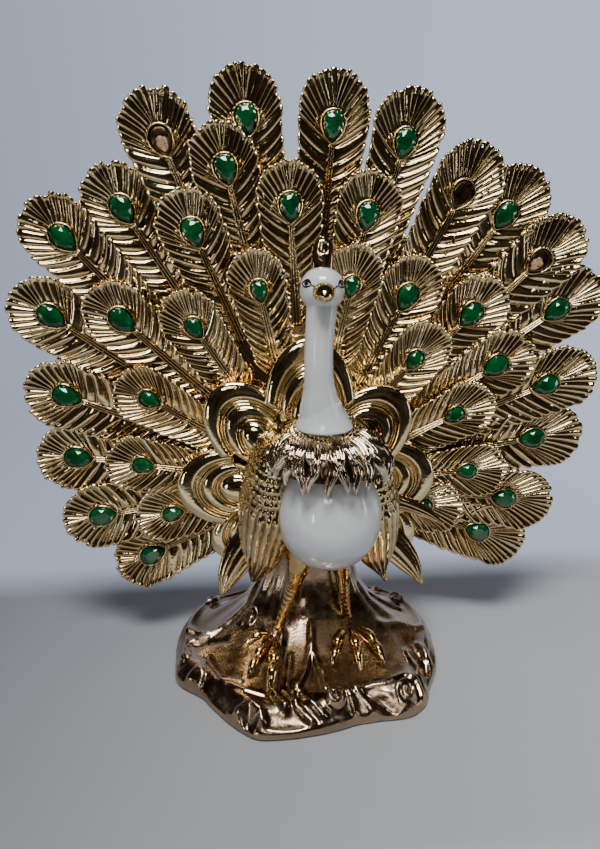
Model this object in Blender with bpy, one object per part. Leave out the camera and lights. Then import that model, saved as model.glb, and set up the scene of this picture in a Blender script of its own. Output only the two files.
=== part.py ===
"""A displaying peacock, cast in one piece of ceramic, with pear-shaped stones set in its tail.

The bird faces -Y and stands on its base at z = 0. Run it with
    blender --background --python part.py
"""

from math import atan2, cos, pi, radians, sin, tan

import bmesh
import bpy
from mathutils import Vector

# Driving sizes, in metres.
HEIGHT = 0.385
STONE_LENGTH = 0.0180
STONE_WIDTH = 0.0130
STONE_RISE = 0.0042
SMALL_STONE_LENGTH = 0.0140
SMALL_STONE_WIDTH = 0.0100
SMALL_STONE_RISE = 0.0034
STONE_GAP = 0.0003
BEZEL_WALL = 0.0012
SEAT_DEPTH = 0.0010
POCKET_DEPTH = 0.0016
PLATE = 0.0048

# The free forms are laid out on a grid of 326 steps to the figure's height.
GRID_STEPS = 326.0
STEP = HEIGHT / GRID_STEPS

# The fan: where its feathers meet, and how its face leans back and curls forward at the rim.
ROOT_HEIGHT = 98 * STEP
FACE_DEPTH = 38 * STEP
LEAN = radians(5.0)
DISH = 14.6 * STEP
REACH = 230 * STEP

# Feathers: bearing from straight up in degrees, and the eye's distance from the root as a share of REACH.
OUTER_FEATHERS = (
    (-113.5, 0.444), (-96.7, 0.529), (-80.9, 0.583), (-67.0, 0.639), (-54.0, 0.749),
    (-42.2, 0.834), (-31.9, 0.803), (-21.6, 0.891), (-8.8, 0.887), (4.1, 0.867),
    (15.6, 0.863), (27.5, 0.811), (35.8, 0.828), (45.7, 0.807), (55.0, 0.776),
    (67.8, 0.675), (79.6, 0.612), (95.7, 0.537), (107.7, 0.492),
)
MIDDLE_FEATHERS = (
    (-45.7, 0.617), (-22.8, 0.684), (-13.6, 0.791), (-3.2, 0.689),
    (12.3, 0.685), (27.3, 0.540), (43.4, 0.600), (57.5, 0.572),
)
INNER_FEATHERS = (
    (-98.9, 0.350), (-79.3, 0.419), (-58.1, 0.456), (-33.3, 0.494), (-13.0, 0.511),
    (11.9, 0.518), (39.6, 0.424), (63.8, 0.421), (85.3, 0.420), (100.3, 0.308),
)
# The outer feathers whose stones are lost, by their place in the list.
EMPTY_SEATS = (7, 11, 13)

# Each ring of feathers lies this far in front of the fan's face.
OUTER_LAYER = 0.0
MIDDLE_LAYER = 4.0 * STEP
INNER_LAYER = 8.0 * STEP

FLAT_ANGLE = radians(3.0)

GOLD = ("gold", (0.83, 0.63, 0.33, 1.0), 0.15, 1.0)
GREEN = ("green_stone", (0.0, 0.22, 0.07, 1.0), 0.06, 0.0)


def clear_scene():
    for old in list(bpy.data.objects):
        bpy.data.objects.remove(old, do_unlink=True)


def material(kind):
    name, colour, roughness, metallic = kind
    made = bpy.data.materials.get(name) or bpy.data.materials.new(name)
    made.use_nodes = True
    shader = made.node_tree.nodes["Principled BSDF"]
    shader.inputs["Base Color"].default_value = colour
    shader.inputs["Roughness"].default_value = roughness
    shader.inputs["Metallic"].default_value = metallic
    made.diffuse_color = colour
    return made


def solid(name, points, faces, kind=GOLD):
    """A mesh object from its points and faces."""
    mesh = bpy.data.meshes.new(name)
    mesh.from_pydata([tuple(p) for p in points], [], faces)
    mesh.validate()
    mesh.update()
    made = bpy.data.objects.new(name, mesh)
    made.data.materials.append(material(kind))
    bpy.context.scene.collection.objects.link(made)
    return made


def turn_outwards(made):
    """Faces of a closed form are made to point out of it."""
    work = bmesh.new()
    work.from_mesh(made.data)
    bmesh.ops.recalc_face_normals(work, faces=work.faces)
    work.to_mesh(made.data)
    work.free()


def at(x, y, z):
    """A point of the free form, from its grid steps."""
    return Vector((x, y, z)) * STEP


# Lofted forms: body, neck, legs, toes, wings and trunk.

def ring(centre, side, up, half_side, half_up, count):
    return [
        centre + side * half_side * cos(2 * pi * k / count) + up * half_up * sin(2 * pi * k / count)
        for k in range(count)
    ]


def loft(name, stations, count, flute=0.0, upright=False):
    """A closed form through stations of (centre, half width, half depth), square to its path or to Z.

    flute draws every second line of points inwards, as a share of the section."""
    centres = [s[0] for s in stations]
    points, faces = [], []
    for i, (centre, half_side, half_up) in enumerate(stations):
        ahead = centres[min(i + 1, len(centres) - 1)] - centres[max(i - 1, 0)]
        ahead = Vector((0, 0, 1)) if upright else ahead.normalized()
        side = Vector((1, 0, 0)) - ahead * ahead.x
        side.normalize()
        up = ahead.cross(side)
        row = ring(centre, side, up, half_side, half_up, count)
        points += [centre + (p - centre) * (1 - flute * (k % 2)) for k, p in enumerate(row)]
    for i in range(len(stations) - 1):
        for k in range(count):
            a, b = i * count + k, i * count + (k + 1) % count
            faces.append((a, b, b + count, a + count))
    faces.append(tuple(reversed(range(count))))
    last = (len(stations) - 1) * count
    faces.append(tuple(range(last, last + count)))
    return solid(name, points, faces)


def ellipsoid_stations(centre, half_width, half_depth, half_height, rows):
    """Loft stations of an upright ellipsoid, top to bottom, cut just short of its poles."""
    stations = []
    for i in range(rows):
        angle = pi * (0.06 + 0.88 * i / (rows - 1))
        height = centre + Vector((0, 0, half_height * cos(angle)))
        stations.append((height, half_width * sin(angle), half_depth * sin(angle)))
    return stations


# The fan's face and what lies on it.

def face_depth(x, z):
    """How far back the fan's face is at a point of the front view."""
    rise = z - ROOT_HEIGHT
    return FACE_DEPTH + tan(LEAN) * rise - DISH * (x * x + rise * rise) / REACH**2


def face_normal(x, z):
    """The direction in which the fan faces, there."""
    rise = z - ROOT_HEIGHT
    slope_x = -2 * DISH * x / REACH**2
    slope_z = tan(LEAN) - 2 * DISH * rise / REACH**2
    return Vector((slope_x, -1, slope_z)).normalized()


def eye_place(bearing, distance):
    """Front-view place of a feather's eye."""
    return distance * sin(radians(bearing)), ROOT_HEIGHT + distance * cos(radians(bearing))


def on_blade(bearing, eye, across, along):
    """Front-view place of a point of a feather, from its eye."""
    turn = radians(bearing)
    return (
        eye[0] + across * cos(turn) + along * sin(turn),
        eye[1] - across * sin(turn) + along * cos(turn),
    )


# Stones, and the outline that their bezels and seats share.

PEAR_TAPER = 0.5
PEAR_POINTS = 8


def pear(length, width, grow=0.0):
    """Outline of a pear stone as (across, along) from its round end. Its point is towards the fan's root."""
    turns = [pi - 2 * pi * k / PEAR_POINTS for k in range(PEAR_POINTS)]
    swell = [sin(t) * abs(sin(t / 2)) ** PEAR_TAPER for t in turns]
    fullest = max(swell)
    return [
        ((width / 2 + grow) * s / fullest, -(length / 2 + grow) * cos(t))
        for t, s in zip(turns, swell)
    ]


def feather_frame(bearing, distance, layer):
    """Centre and axes of a feather at its eye: across, along it towards its tip, and out of its face."""
    x, z = eye_place(bearing, distance)
    out = face_normal(x, z)
    along = Vector((sin(radians(bearing)), 0, cos(radians(bearing))))
    along = (along - out * along.dot(out)).normalized()
    across = out.cross(along)
    return Vector((x, face_depth(x, z) - layer, z)), across, along, out


def placed(frame, outline, height):
    """Points of an outline at a height above the feather's face."""
    centre, across, along, out = frame
    return [centre + across * a + along * b + out * height for a, b in outline]


def pear_prism(name, frame, outlines, kind=GOLD):
    """A solid through pear outlines, each given as (outline, height above the face)."""
    points, faces = [], []
    count = len(outlines[0][0])
    for outline, height in outlines:
        points += placed(frame, outline, height)
    for i in range(len(outlines) - 1):
        for k in range(count):
            a, b = i * count + k, i * count + (k + 1) % count
            faces.append((b, a, a + count, b + count))
    faces.append(tuple(range(count)))
    last = (len(outlines) - 1) * count
    faces.append(tuple(reversed(range(last, last + count))))
    made = solid(name, points, faces, kind)
    turn_outwards(made)
    return made


# A stone's girdle, as a share of its height, and its table, as shares of its width and length.
GIRDLE = 0.35
TABLE = (0.58, 0.62)


def stone(name, frame, length, width, rise, floor):
    """A flat-backed stone with a girdle, a ring of facets and a table."""
    bottom = floor + STONE_GAP
    girdle = bottom + rise * GIRDLE
    outline = pear(length, width)
    table = [(a * TABLE[0], b * TABLE[1]) for a, b in outline]
    return pear_prism(name, frame, [(outline, bottom), (outline, girdle), (table, bottom + rise)], GREEN)


# A feather's outline down one side from its tip: across as a share of its half width, and along as a
# share of its tip or, below the eye, of its tail.
BLADE_SIDE = ((0.46, 0.90), (0.86, 0.56), (1.0, 0.05), (0.94, -0.32), (0.66, -1.0))
BLADE_CUP = 2.4 * STEP
BLADE_FLUTE = 0.8 * STEP
TIP_CURL = 2.2 * STEP
TAIL_DROP = 2.0 * STEP
BEZEL_TOP = 2.2 * STEP
# The bezel's wall spreads towards its foot, and the blade's back is a little smaller than its rim.
BEZEL_SPREAD = 0.5 * BEZEL_TOP
BACK_SHARE = 0.96


def blade_outline(half_width, tip, tail):
    side = [(a * half_width, b * (tip if b > 0 else tail)) for a, b in BLADE_SIDE]
    return [(0.0, tip), *side, *[(-a, b) for a, b in reversed(side)]]


def rim_rise(across, along, half_width, tip, tail, number):
    """How far a feather's rim stands before its eye: cupped at the sides, curled at the tip, and fluted."""
    cup = BLADE_CUP * (across / half_width) ** 2
    curl = TIP_CURL * max(0.0, along / tip) ** 2
    drop = TAIL_DROP * max(0.0, -along / tail) ** 2
    flute = BLADE_FLUTE * (1 if number % 2 else -1)
    return cup + curl - drop + flute


def zipper(outer, inner, outlines):
    """Triangles between two rings of points, which both start at the tip and go the same way round."""
    turns = []
    for outline in outlines:
        around = [atan2(a, b) % (2 * pi) for a, b in outline]
        around[0] = 0.0
        turns.append([*around, 2 * pi])
    faces, i, k = [], 0, 0
    while i < len(outer) or k < len(inner):
        a, b = outer[i % len(outer)], inner[k % len(inner)]
        outer_next = turns[0][i + 1] if i < len(outer) else 9.0
        inner_next = turns[1][k + 1] if k < len(inner) else 9.0
        if outer_next <= inner_next:
            i += 1
            faces.append((a, outer[i % len(outer)], b))
        else:
            k += 1
            faces.append((a, inner[k % len(inner)], b))
    return faces


def feather(name, frame, half_width, tip, tail, stone_size, behind):
    """One tail feather: a cupped, fluted blade with a raised bezel for its stone.

    It runs from its round tip to its tail, under the next ring, and is solid to the plane behind it."""
    outline = blade_outline(half_width, tip, tail)
    foot = pear(*stone_size, STONE_GAP + BEZEL_WALL + BEZEL_SPREAD)
    top = pear(*stone_size, STONE_GAP + BEZEL_WALL)
    points = []
    for number, (a, b) in enumerate(outline):
        rise = rim_rise(a, b, half_width, tip, tail, number)
        points += placed(frame, [(a, b)], rise)
    points += placed(frame, foot, 0.0)
    points += placed(frame, top, BEZEL_TOP)
    points += placed(frame, [(a * BACK_SHARE, b * BACK_SHARE) for a, b in outline], -behind)
    count, pear_count = len(outline), len(foot)
    rim = list(range(count))
    feet = list(range(count, count + pear_count))
    tops = [k + pear_count for k in feet]
    backs = [k + count + 2 * pear_count for k in rim]
    faces = zipper(rim, feet, (outline, foot))
    faces.append(tuple(tops))
    faces.append(tuple(reversed(backs)))
    for low, high, size in ((feet, tops, pear_count), (backs, rim, count)):
        for k in range(size):
            n = (k + 1) % size
            faces.append((low[k], low[n], high[n], high[k]))
    made = solid(name, points, faces)
    turn_outwards(made)
    return made


# The rings of feathers: half width, length of the tip, how much longer it is on the bird's left, and tail.
OUTER_SHAPE = (20.0 * STEP, 27.0 * STEP, 4.0 * STEP, 58 * STEP)
MIDDLE_SHAPE = (19.0 * STEP, 24.0 * STEP, 1.0 * STEP, 52 * STEP)
INNER_SHAPE = (17.0 * STEP, 23.5 * STEP, 2.0 * STEP, 46 * STEP)
# Neighbours in a ring lie at different depths, so that one lies over the other.
OVERLAP_STEP = 1.3 * STEP


def feather_ring(ring_name, places, shape, layer, stone_size, rise, empty, forms, cutters):
    """One ring of feathers, with the seats for their stones and the stones themselves."""
    half_width, tip, longer, tail = shape
    for i, (bearing, share) in enumerate(places):
        raised = layer + OVERLAP_STEP * (i % 2)
        frame = feather_frame(bearing, share * REACH, raised)
        length = tip + longer * sin(radians(bearing))
        blade = (half_width, length, tail)
        forms.append(feather(f"{ring_name}_feather_{i + 1:02d}", frame, *blade, stone_size, raised + PLATE))
        floor = BEZEL_TOP - (POCKET_DEPTH if i in empty else SEAT_DEPTH)
        hole = pear(*stone_size, STONE_GAP)
        seat = [(hole, floor), (hole, BEZEL_TOP + rise)]
        cutters.append(pear_prism(f"{ring_name}_seat_{i + 1:02d}", frame, seat))
        if i not in empty:
            stone(f"{ring_name}_stone_{i + 1:02d}", frame, *stone_size, rise, floor)


BACKING_SHARE = 0.80
BACKING_SPOKES = 24
LOWER_REACH = 0.30
# The shell's rings: share of its reach, and how far its front lies before the fan's face and its back behind.
BACKING_RINGS = ((0.0, 9.0, 7.5), (0.42, 8.0, 7.0), (0.78, 1.5, 5.6), (1.0, -1.5, 3.6))


def envelope(bearing):
    """The outer eyes' distance at a bearing, as a share of REACH, closing to LOWER_REACH below the fan."""
    bearing = (bearing + 180) % 360 - 180
    below = [(-180.0, LOWER_REACH), (-140.0, LOWER_REACH)]
    known = [*below, *OUTER_FEATHERS, (140.0, LOWER_REACH), (180.0, LOWER_REACH)]
    for (low, first), (high, second) in zip(known, known[1:]):
        if low <= bearing <= high:
            return first + (second - first) * (bearing - low) / (high - low)
    return LOWER_REACH


def backing():
    """The smooth shell at the back, which joins the feathers."""
    points, faces = [], []
    count = BACKING_SPOKES
    sides = []
    for side in (0, 1):
        rows = []
        for share, front, back in BACKING_RINGS[1:]:
            rows.append(range(len(points), len(points) + count))
            for k in range(count):
                bearing = -180 + 360 * (k + 0.5) / count
                x, z = eye_place(bearing, envelope(bearing) * BACKING_SHARE * REACH * share)
                offset = back if side else -front
                points.append(Vector((x, face_depth(x, z) + offset * STEP, z)))
        offset = BACKING_RINGS[0][2] if side else -BACKING_RINGS[0][1]
        points.append(Vector((0, face_depth(0, ROOT_HEIGHT) + offset * STEP, ROOT_HEIGHT)))
        middle = len(points) - 1
        for k in range(count):
            n = (k + 1) % count
            faces.append((rows[0][k], rows[0][n], middle))
            for inner, outer in zip(rows, rows[1:]):
                faces.append((inner[k], outer[k], outer[n], inner[n]))
        sides.append(rows[-1])
    for k in range(count):
        n = (k + 1) % count
        faces.append((sides[0][k], sides[0][n], sides[1][n], sides[1][k]))
    made = solid("fan_backing", points, faces)
    turn_outwards(made)
    return made


# The smooth scales round the bird's back: bearing in degrees, then the tip's distance, the half width and
# the layer in steps.
PETALS = (
    (-84.0, 76, 23, 16.0), (82.0, 75, 23, 16.0), (-40.0, 82, 23, 20.0), (42.0, 79, 23, 20.0),
    (0.0, 91, 25, 25.0), (-122.0, 66, 17, 13.0), (118.0, 72, 17, 13.0),
)
PETAL_POINTS = 10
PETAL_ROOT = 16.0
# Rings of a scale from rim to middle: share of its outline and how far it stands forward.
PETAL_RINGS = ((1.0, 0.0), (0.84, 2.4), (0.56, 0.8))
PETAL_HEART = 3.0
# The middle of the rings lies this far below the scale's own, as a share of its half length.
PETAL_SINK = 0.35


def petal_outline(half_width, half_length, share):
    """Ring of a scale as (across, along) from its tip, narrowed towards the fan's root."""
    outline = []
    for k in range(PETAL_POINTS):
        t = 2 * pi * k / PETAL_POINTS
        narrow = 0.72 + 0.28 * cos(t) if cos(t) < 0 else 1.0
        along = half_length * (share * (cos(t) + PETAL_SINK) - PETAL_SINK)
        outline.append((half_width * share * narrow * sin(t), along))
    return outline


def petal(name, bearing, reach, half_width, layer):
    """One smooth scale with a raised border and a raised heart, from the fan's root to its round tip."""
    half_length = (reach - PETAL_ROOT) / 2
    eye = eye_place(bearing, (reach + PETAL_ROOT) / 2 * STEP)
    points, faces = [], []

    def add(across, along, forward):
        x, z = on_blade(bearing, eye, across * STEP, along * STEP)
        points.append(Vector((x, face_depth(x, z) - forward * STEP, z)))

    for share, rise in PETAL_RINGS:
        for across, along in petal_outline(half_width, half_length, share):
            add(across, along, layer + rise)
    heart = len(points)
    add(0, -PETAL_SINK * half_length, layer + PETAL_HEART)
    for across, along in petal_outline(half_width * BACK_SHARE, half_length * BACK_SHARE, 1.0):
        add(across, along, 1.0)
    back = heart + 1
    rings = len(PETAL_RINGS)
    for k in range(PETAL_POINTS):
        n = (k + 1) % PETAL_POINTS
        for i in range(rings - 1):
            a, b = i * PETAL_POINTS + k, i * PETAL_POINTS + n
            faces.append((a, a + PETAL_POINTS, b + PETAL_POINTS, b))
        last = (rings - 1) * PETAL_POINTS
        faces.append((last + k, heart, last + n))
        faces.append((k, n, back + n, back + k))
    faces.append(tuple(range(back, back + PETAL_POINTS)))
    made = solid(name, points, faces)
    turn_outwards(made)
    return made


# The bird.

# Centres and half sizes in grid steps.
BREAST = ((7, -14, 103), 28.5, 31, 31)
RUMP = ((6, 16, 107), 44, 29, 42)
NECK = (
    ((3, -14, 140), 16, 16), ((3, -20, 151), 13.6, 12.5), ((1, -23, 161), 10.4, 10), ((0, -25, 172), 7.6, 8),
    ((-0.5, -26, 184), 6.9, 7.2), ((0, -25.5, 197), 6.9, 7.0), ((1, -24, 209), 7.2, 7.6),
    ((1.3, -22, 217), 7.4, 8.2),
)
HEAD = ((1.3, -22.5, 218), 10.2, 12.5, 9.0)
BEAK = (
    ((1.0, -28, 218.4), 5.4, 4.6), ((0.6, -34.5, 218.6), 4.8, 4.0), ((0.3, -38, 218.2), 3.2, 3.0),
    ((0, -41, 217.4), 1.0, 1.0),
)
CREST = (
    ((0.4, -18, 221), 4.2, 2.8), ((0.6, -17, 228), 5.0, 3.0), ((0.8, -16, 235), 4.8, 2.8),
    ((0.9, -15.5, 240), 2.8, 1.8),
)
MANTLE = (
    ((3, -17, 153), 14.0, 13.0), ((4, -16, 147), 20.5, 19.0), ((5, -15, 140), 27.0, 26.0),
    ((6, -14, 134), 31.0, 31.0), ((7, -14, 129), 30.0, 32.0), ((7, -14, 123), 22.0, 25.0),
)
WING = (
    ((21, -2, 141), 6, 10), ((26, -2, 130), 12, 21), ((29, 0, 112), 14, 27), ((31, 2, 92), 13.5, 25),
    ((33, 2, 74), 11, 18), ((37, 3, 60), 4.5, 9), ((39, 4, 53), 1.4, 3),
)
FRINGE_MIDDLE = (7, -14, 139)
FRINGE_HALF_WIDTH = 29.5
FRINGE_HALF_DEPTH = 32.5
# A lock's stations: share of its length, share of the fringe's half width and depth, and its own half sizes.
LOCK_STATIONS = ((0.0, 0.84, 4.4, 2.6), (0.55, 1.0, 5.0, 2.4), (1.0, 0.96, 1.0, 1.0))
# Locks of the mantle's fringe on the breast: angle round the breast in degrees, 0 to the front, and length.
FRINGE = ((-64, 15), (-43, 17), (-21, 21), (1, 17), (21, 19), (42, 16), (62, 14))


def fringe_lock(name, angle, length):
    """One pointed lock of feathers that hangs from the mantle over the breast."""
    turn = radians(angle)
    x0, y0, z0 = FRINGE_MIDDLE
    stations = []
    for share, out, half_width, half_depth in LOCK_STATIONS:
        x = x0 + FRINGE_HALF_WIDTH * out * sin(turn)
        y = y0 - FRINGE_HALF_DEPTH * out * cos(turn)
        stations.append((at(x, y, z0 - length * share), half_width * STEP, half_depth * STEP))
    return loft(name, stations, 5)


def scaled(stations, side=1.0, shift=0.0):
    """Stations in metres, from grid steps, mirrored and shifted sideways if asked."""
    return [(at(x * side + shift, y, z), w * STEP, d * STEP) for (x, y, z), w, d in stations]


LEGS = {
    "left": (((14, -8, 84), 10, 10), ((14, -9, 73), 8.2, 8), ((16, -8, 62), 5.2, 5), ((17, -5, 51), 3.6, 3.4),
             ((19.5, 0, 36), 2.9, 2.9), ((22, 5, 22), 3.2, 3.2), ((22, 4, 15), 3.0, 3.0)),
    "right": (((-8, -9, 84), 10, 10), ((-8, -11, 73), 8.0, 8), ((-10, -11, 62), 5.0, 5),
              ((-12, -9, 53), 3.6, 3.4), ((-16, -6, 38), 2.9, 2.9), ((-20.5, -2, 22), 3.2, 3.2),
              ((-20.5, -3, 15), 3.0, 3.0)),
}
# Toes: ankle, knuckle and claw tip of each, in grid steps.
TOES = {
    "left": (((22, 4, 19), (14, -12, 20), (8.5, -26, 12)), ((22, 4, 19), (23, -14, 20), (24, -30, 12)),
             ((22, 4, 19), (32, -9, 19), (39, -25, 12)), ((22, 4, 19), (24, 12, 18), (27, 20, 12))),
    "right": (((-20.5, -2, 19), (-32, -4, 19), (-42, -9, 12)),
              ((-20.5, -2, 19), (-30, -17, 20), (-38, -31, 12)),
              ((-20.5, -2, 19), (-23, -22, 20), (-26, -40, 12)),
              ((-20.5, -2, 19), (-20, 6, 18), (-19, 14, 12))),
}
TRUNK = (
    ((-1, 14, 7), 63, 44), ((-1, 19, 15), 52, 36), ((0, 23, 25), 41, 28), ((0, 26, 38), 32, 20),
    ((1, 27, 55), 27, 17), ((2, 26, 75), 27, 19), ((2, 24, 95), 24, 20),
)
TRUNK_SIDES = 12
TRUNK_FLUTE = 0.07
MANTLE_SIDES = 16
MANTLE_FLUTE = 0.05
# Leaves below the scales: bearing and reach of the tip, and half width.
COVERTS = ((-137.0, 80, 10), (129.0, 88, 10))


def covert(name, bearing, reach, half_width):
    """A slim leaf below the scales, from the root down to a curled tip."""
    stations = []
    for share, width in ((0.15, 0.6), (0.4, 1.0), (0.65, 1.0), (0.85, 0.7), (1.0, 0.15)):
        x, z = eye_place(bearing + 8 * sin(pi * share) * (1 if bearing < 0 else -1), reach * share * STEP)
        y = face_depth(x, z) - (16 + 5 * share * share) * STEP
        stations.append((Vector((x, y, z)), half_width * width * STEP, 4.5 * STEP * (1.1 - share * 0.7)))
    return loft(name, stations, 6)


def round_form(name, sizes, rows, count):
    """A faceted ellipsoid from its centre and half width, depth and height in grid steps."""
    centre, *halves = sizes
    return loft(name, ellipsoid_stations(at(*centre), *[half * STEP for half in halves], rows), count)


def bird(forms):
    """The bird's forms, added to the list of what is cast together."""
    forms.append(round_form("breast", BREAST, 7, 15))
    forms.append(round_form("rump", RUMP, 5, 10))
    forms.append(loft("neck", scaled(NECK), 10))
    forms.append(round_form("head", HEAD, 6, 12))
    forms.append(loft("beak", scaled(BEAK), 6))
    forms.append(loft("crest", scaled(CREST), 8))
    forms.append(loft("mantle", scaled(MANTLE), MANTLE_SIDES, MANTLE_FLUTE))
    for i, (angle, length) in enumerate(FRINGE):
        forms.append(fringe_lock(f"fringe_{i + 1}", angle, length))
    forms.append(loft("left_wing", scaled(WING, 1, 2), 9))
    forms.append(loft("right_wing", scaled(WING, -1, 5), 9))
    for i, (bearing, reach, half) in enumerate(COVERTS):
        forms.append(covert(f"covert_{i + 1}", bearing, reach, half))
    for side, stations in LEGS.items():
        forms.append(loft(f"{side}_leg", scaled(stations), 7))
        for i, (ankle, knuckle, claw) in enumerate(TOES[side]):
            toe = ((ankle, 2.4, 2.4), (knuckle, 3.2, 3.0), (claw, 0.9, 1.2))
            forms.append(loft(f"{side}_toe_{i + 1}", scaled(toe), 5))


# The base: bearing round it in degrees from +X, and how far its rim is from the middle, in grid steps.
BASE_RIM = (
    (0, 74), (18, 79), (36, 82), (54, 78), (72, 68), (90, 64), (108, 68), (126, 76), (144, 84), (162, 84),
    (180, 80), (192, 80), (205, 69), (218, 68), (230, 69), (241, 70), (252, 65), (264, 61), (276, 59),
    (288, 58), (300, 62), (312, 71), (322, 73), (332, 70), (346, 73),
)
# Rings of the base from the ground up: share of the rim and height.
BASE_RINGS = ((0.97, 0.0), (1.0, 4.0), (0.985, 9.0), (0.90, 12.5), (0.76, 11.0), (0.55, 14.0), (0.30, 17.0))
BASE_WAVE = 2.6


def base():
    """The flowing rock that the bird stands on, flat below."""
    count = len(BASE_RIM)
    points, faces = [], []
    for share, height in BASE_RINGS:
        for k, (bearing, reach) in enumerate(BASE_RIM):
            turn = radians(bearing)
            wave = BASE_WAVE * sin(2.1 * k) * (height > 4) * share
            points.append(at(reach * share * cos(turn), reach * share * sin(turn), max(0.0, height + wave)))
    points.append(at(0, 0, 17))
    for i in range(len(BASE_RINGS) - 1):
        for k in range(count):
            a, b = i * count + k, i * count + (k + 1) % count
            faces.append((a, b, b + count, a + count))
    last = (len(BASE_RINGS) - 1) * count
    for k in range(count):
        faces.append((last + k, last + (k + 1) % count, last + count))
    faces.append(tuple(reversed(range(count))))
    return solid("peacock", points, faces)


def combine(target, forms, operation, label):
    """Adds one Boolean to target, with all the forms as its operands, and hides them."""
    group = bpy.data.collections.new(label)
    bpy.context.scene.collection.children.link(group)
    for form in forms:
        turn_outwards(form)
        bpy.context.scene.collection.objects.unlink(form)
        group.objects.link(form)
        form.hide_render = True
        form.display_type = "WIRE"
    modifier = target.modifiers.new(label, "BOOLEAN")
    modifier.operation = operation
    modifier.operand_type = "COLLECTION"
    modifier.collection = group
    modifier.solver = "EXACT"


def join_flat_faces(target):
    """Faces that the Booleans split, though they lie in one plane, become one again."""
    modifier = target.modifiers.new("flat faces", "DECIMATE")
    modifier.decimate_type = "DISSOLVE"
    modifier.angle_limit = FLAT_ANGLE


def main():
    clear_scene()
    forms, cutters = [backing()], []
    large, small = (STONE_LENGTH, STONE_WIDTH), (SMALL_STONE_LENGTH, SMALL_STONE_WIDTH)
    rings = (
        ("outer", OUTER_FEATHERS, OUTER_SHAPE, OUTER_LAYER, large, STONE_RISE, EMPTY_SEATS),
        ("middle", MIDDLE_FEATHERS, MIDDLE_SHAPE, MIDDLE_LAYER, large, STONE_RISE, ()),
        ("inner", INNER_FEATHERS, INNER_SHAPE, INNER_LAYER, small, SMALL_STONE_RISE, ()),
    )
    for ring_values in rings:
        feather_ring(*ring_values, forms, cutters)
    for i, (bearing, reach, half_width, layer) in enumerate(PETALS):
        forms.append(petal(f"scale_{i + 1}", bearing, reach, half_width, layer))
    bird(forms)
    forms.append(loft("trunk", scaled(TRUNK), TRUNK_SIDES, TRUNK_FLUTE, upright=True))
    peacock = base()
    combine(peacock, forms, "UNION", "cast together")
    combine(peacock, cutters, "DIFFERENCE", "stone pockets")
    join_flat_faces(peacock)


main()
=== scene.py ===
"""The look of a displaying peacock figurine in gold and white ceramic, with green stones in its tail."""

from math import cos, pi, radians, sin, tan

import bmesh
import bpy
import numpy as np
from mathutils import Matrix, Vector


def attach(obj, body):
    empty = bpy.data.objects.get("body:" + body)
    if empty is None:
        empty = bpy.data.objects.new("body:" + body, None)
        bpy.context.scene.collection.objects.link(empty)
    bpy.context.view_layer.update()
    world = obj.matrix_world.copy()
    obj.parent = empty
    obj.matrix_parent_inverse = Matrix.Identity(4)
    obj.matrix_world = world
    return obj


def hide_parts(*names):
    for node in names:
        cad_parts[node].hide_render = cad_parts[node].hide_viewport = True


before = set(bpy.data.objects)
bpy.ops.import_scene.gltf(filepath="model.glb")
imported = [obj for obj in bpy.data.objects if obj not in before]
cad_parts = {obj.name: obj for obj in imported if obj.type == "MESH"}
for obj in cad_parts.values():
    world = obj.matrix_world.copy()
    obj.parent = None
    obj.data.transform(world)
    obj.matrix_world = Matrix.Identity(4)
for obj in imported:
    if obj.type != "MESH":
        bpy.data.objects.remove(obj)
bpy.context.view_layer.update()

# Real sizes, in metres, as in the CAD model.
HEIGHT = 0.385
STONE_LENGTH = 0.0180
STONE_WIDTH = 0.0130
STONE_RISE = 0.0042
SMALL_STONE_LENGTH = 0.0140
SMALL_STONE_WIDTH = 0.0100
SMALL_STONE_RISE = 0.0034
STONE_GAP = 0.0003
LARGE_STONE = (STONE_LENGTH, STONE_WIDTH)
SMALL_STONE = (SMALL_STONE_LENGTH, SMALL_STONE_WIDTH)
SEAT_DEPTH = 0.0010
POCKET_DEPTH = 0.0016

# All forms are laid out in steps, 326 of them to the figure's height. STEP is one of them in metres.
STEP = HEIGHT / 326.0

# The fan, in steps: where its feathers meet, and how its face leans back and curls forward at the rim.
ROOT_HEIGHT = 98.0
FACE_DEPTH = 38.0
LEAN = tan(radians(5.0))
DISH = 14.6
REACH = 230.0

# Feathers: bearing from straight up in degrees, and the eye's distance from the root as a share of REACH.
OUTER_FEATHERS = (
    (-113.5, 0.444), (-96.7, 0.529), (-80.9, 0.583), (-67.0, 0.639), (-54.0, 0.749),
    (-42.2, 0.834), (-31.9, 0.803), (-21.6, 0.891), (-8.8, 0.887), (4.1, 0.867),
    (15.6, 0.863), (27.5, 0.811), (35.8, 0.828), (45.7, 0.807), (55.0, 0.776),
    (67.8, 0.675), (79.6, 0.612), (95.7, 0.537), (107.7, 0.492),
)
MIDDLE_FEATHERS = (
    (-45.7, 0.617), (-22.8, 0.684), (-13.6, 0.791), (-3.2, 0.689),
    (12.3, 0.685), (27.3, 0.540), (43.4, 0.600), (57.5, 0.572),
)
INNER_FEATHERS = (
    (-98.9, 0.350), (-79.3, 0.419), (-58.1, 0.456), (-33.3, 0.494), (-13.0, 0.511),
    (11.9, 0.518), (39.6, 0.424), (63.8, 0.421), (85.3, 0.420), (100.3, 0.308),
)
# Seats of the outer ring, counted from 0, that have lost their stones, and those with dried glue left in them.
EMPTY_SEATS = (7, 11, 13)
GLUED_SEATS = (7, 13)
# Every second feather of a ring lies this much further forward.
OVERLAP_STEP = 1.3

rng = np.random.default_rng(7)


def smooth(low, high, value):
    """0 below low, 1 above high, and smooth between."""
    t = np.clip((value - low) / (high - low), 0.0, 1.0)
    return t * t * (3 - 2 * t)


def unit(vector):
    """A vector, or each of an array of vectors, at length 1."""
    vector = np.asarray(vector, float)
    return vector / np.maximum(np.linalg.norm(vector, axis=-1, keepdims=True), 1e-12)


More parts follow.
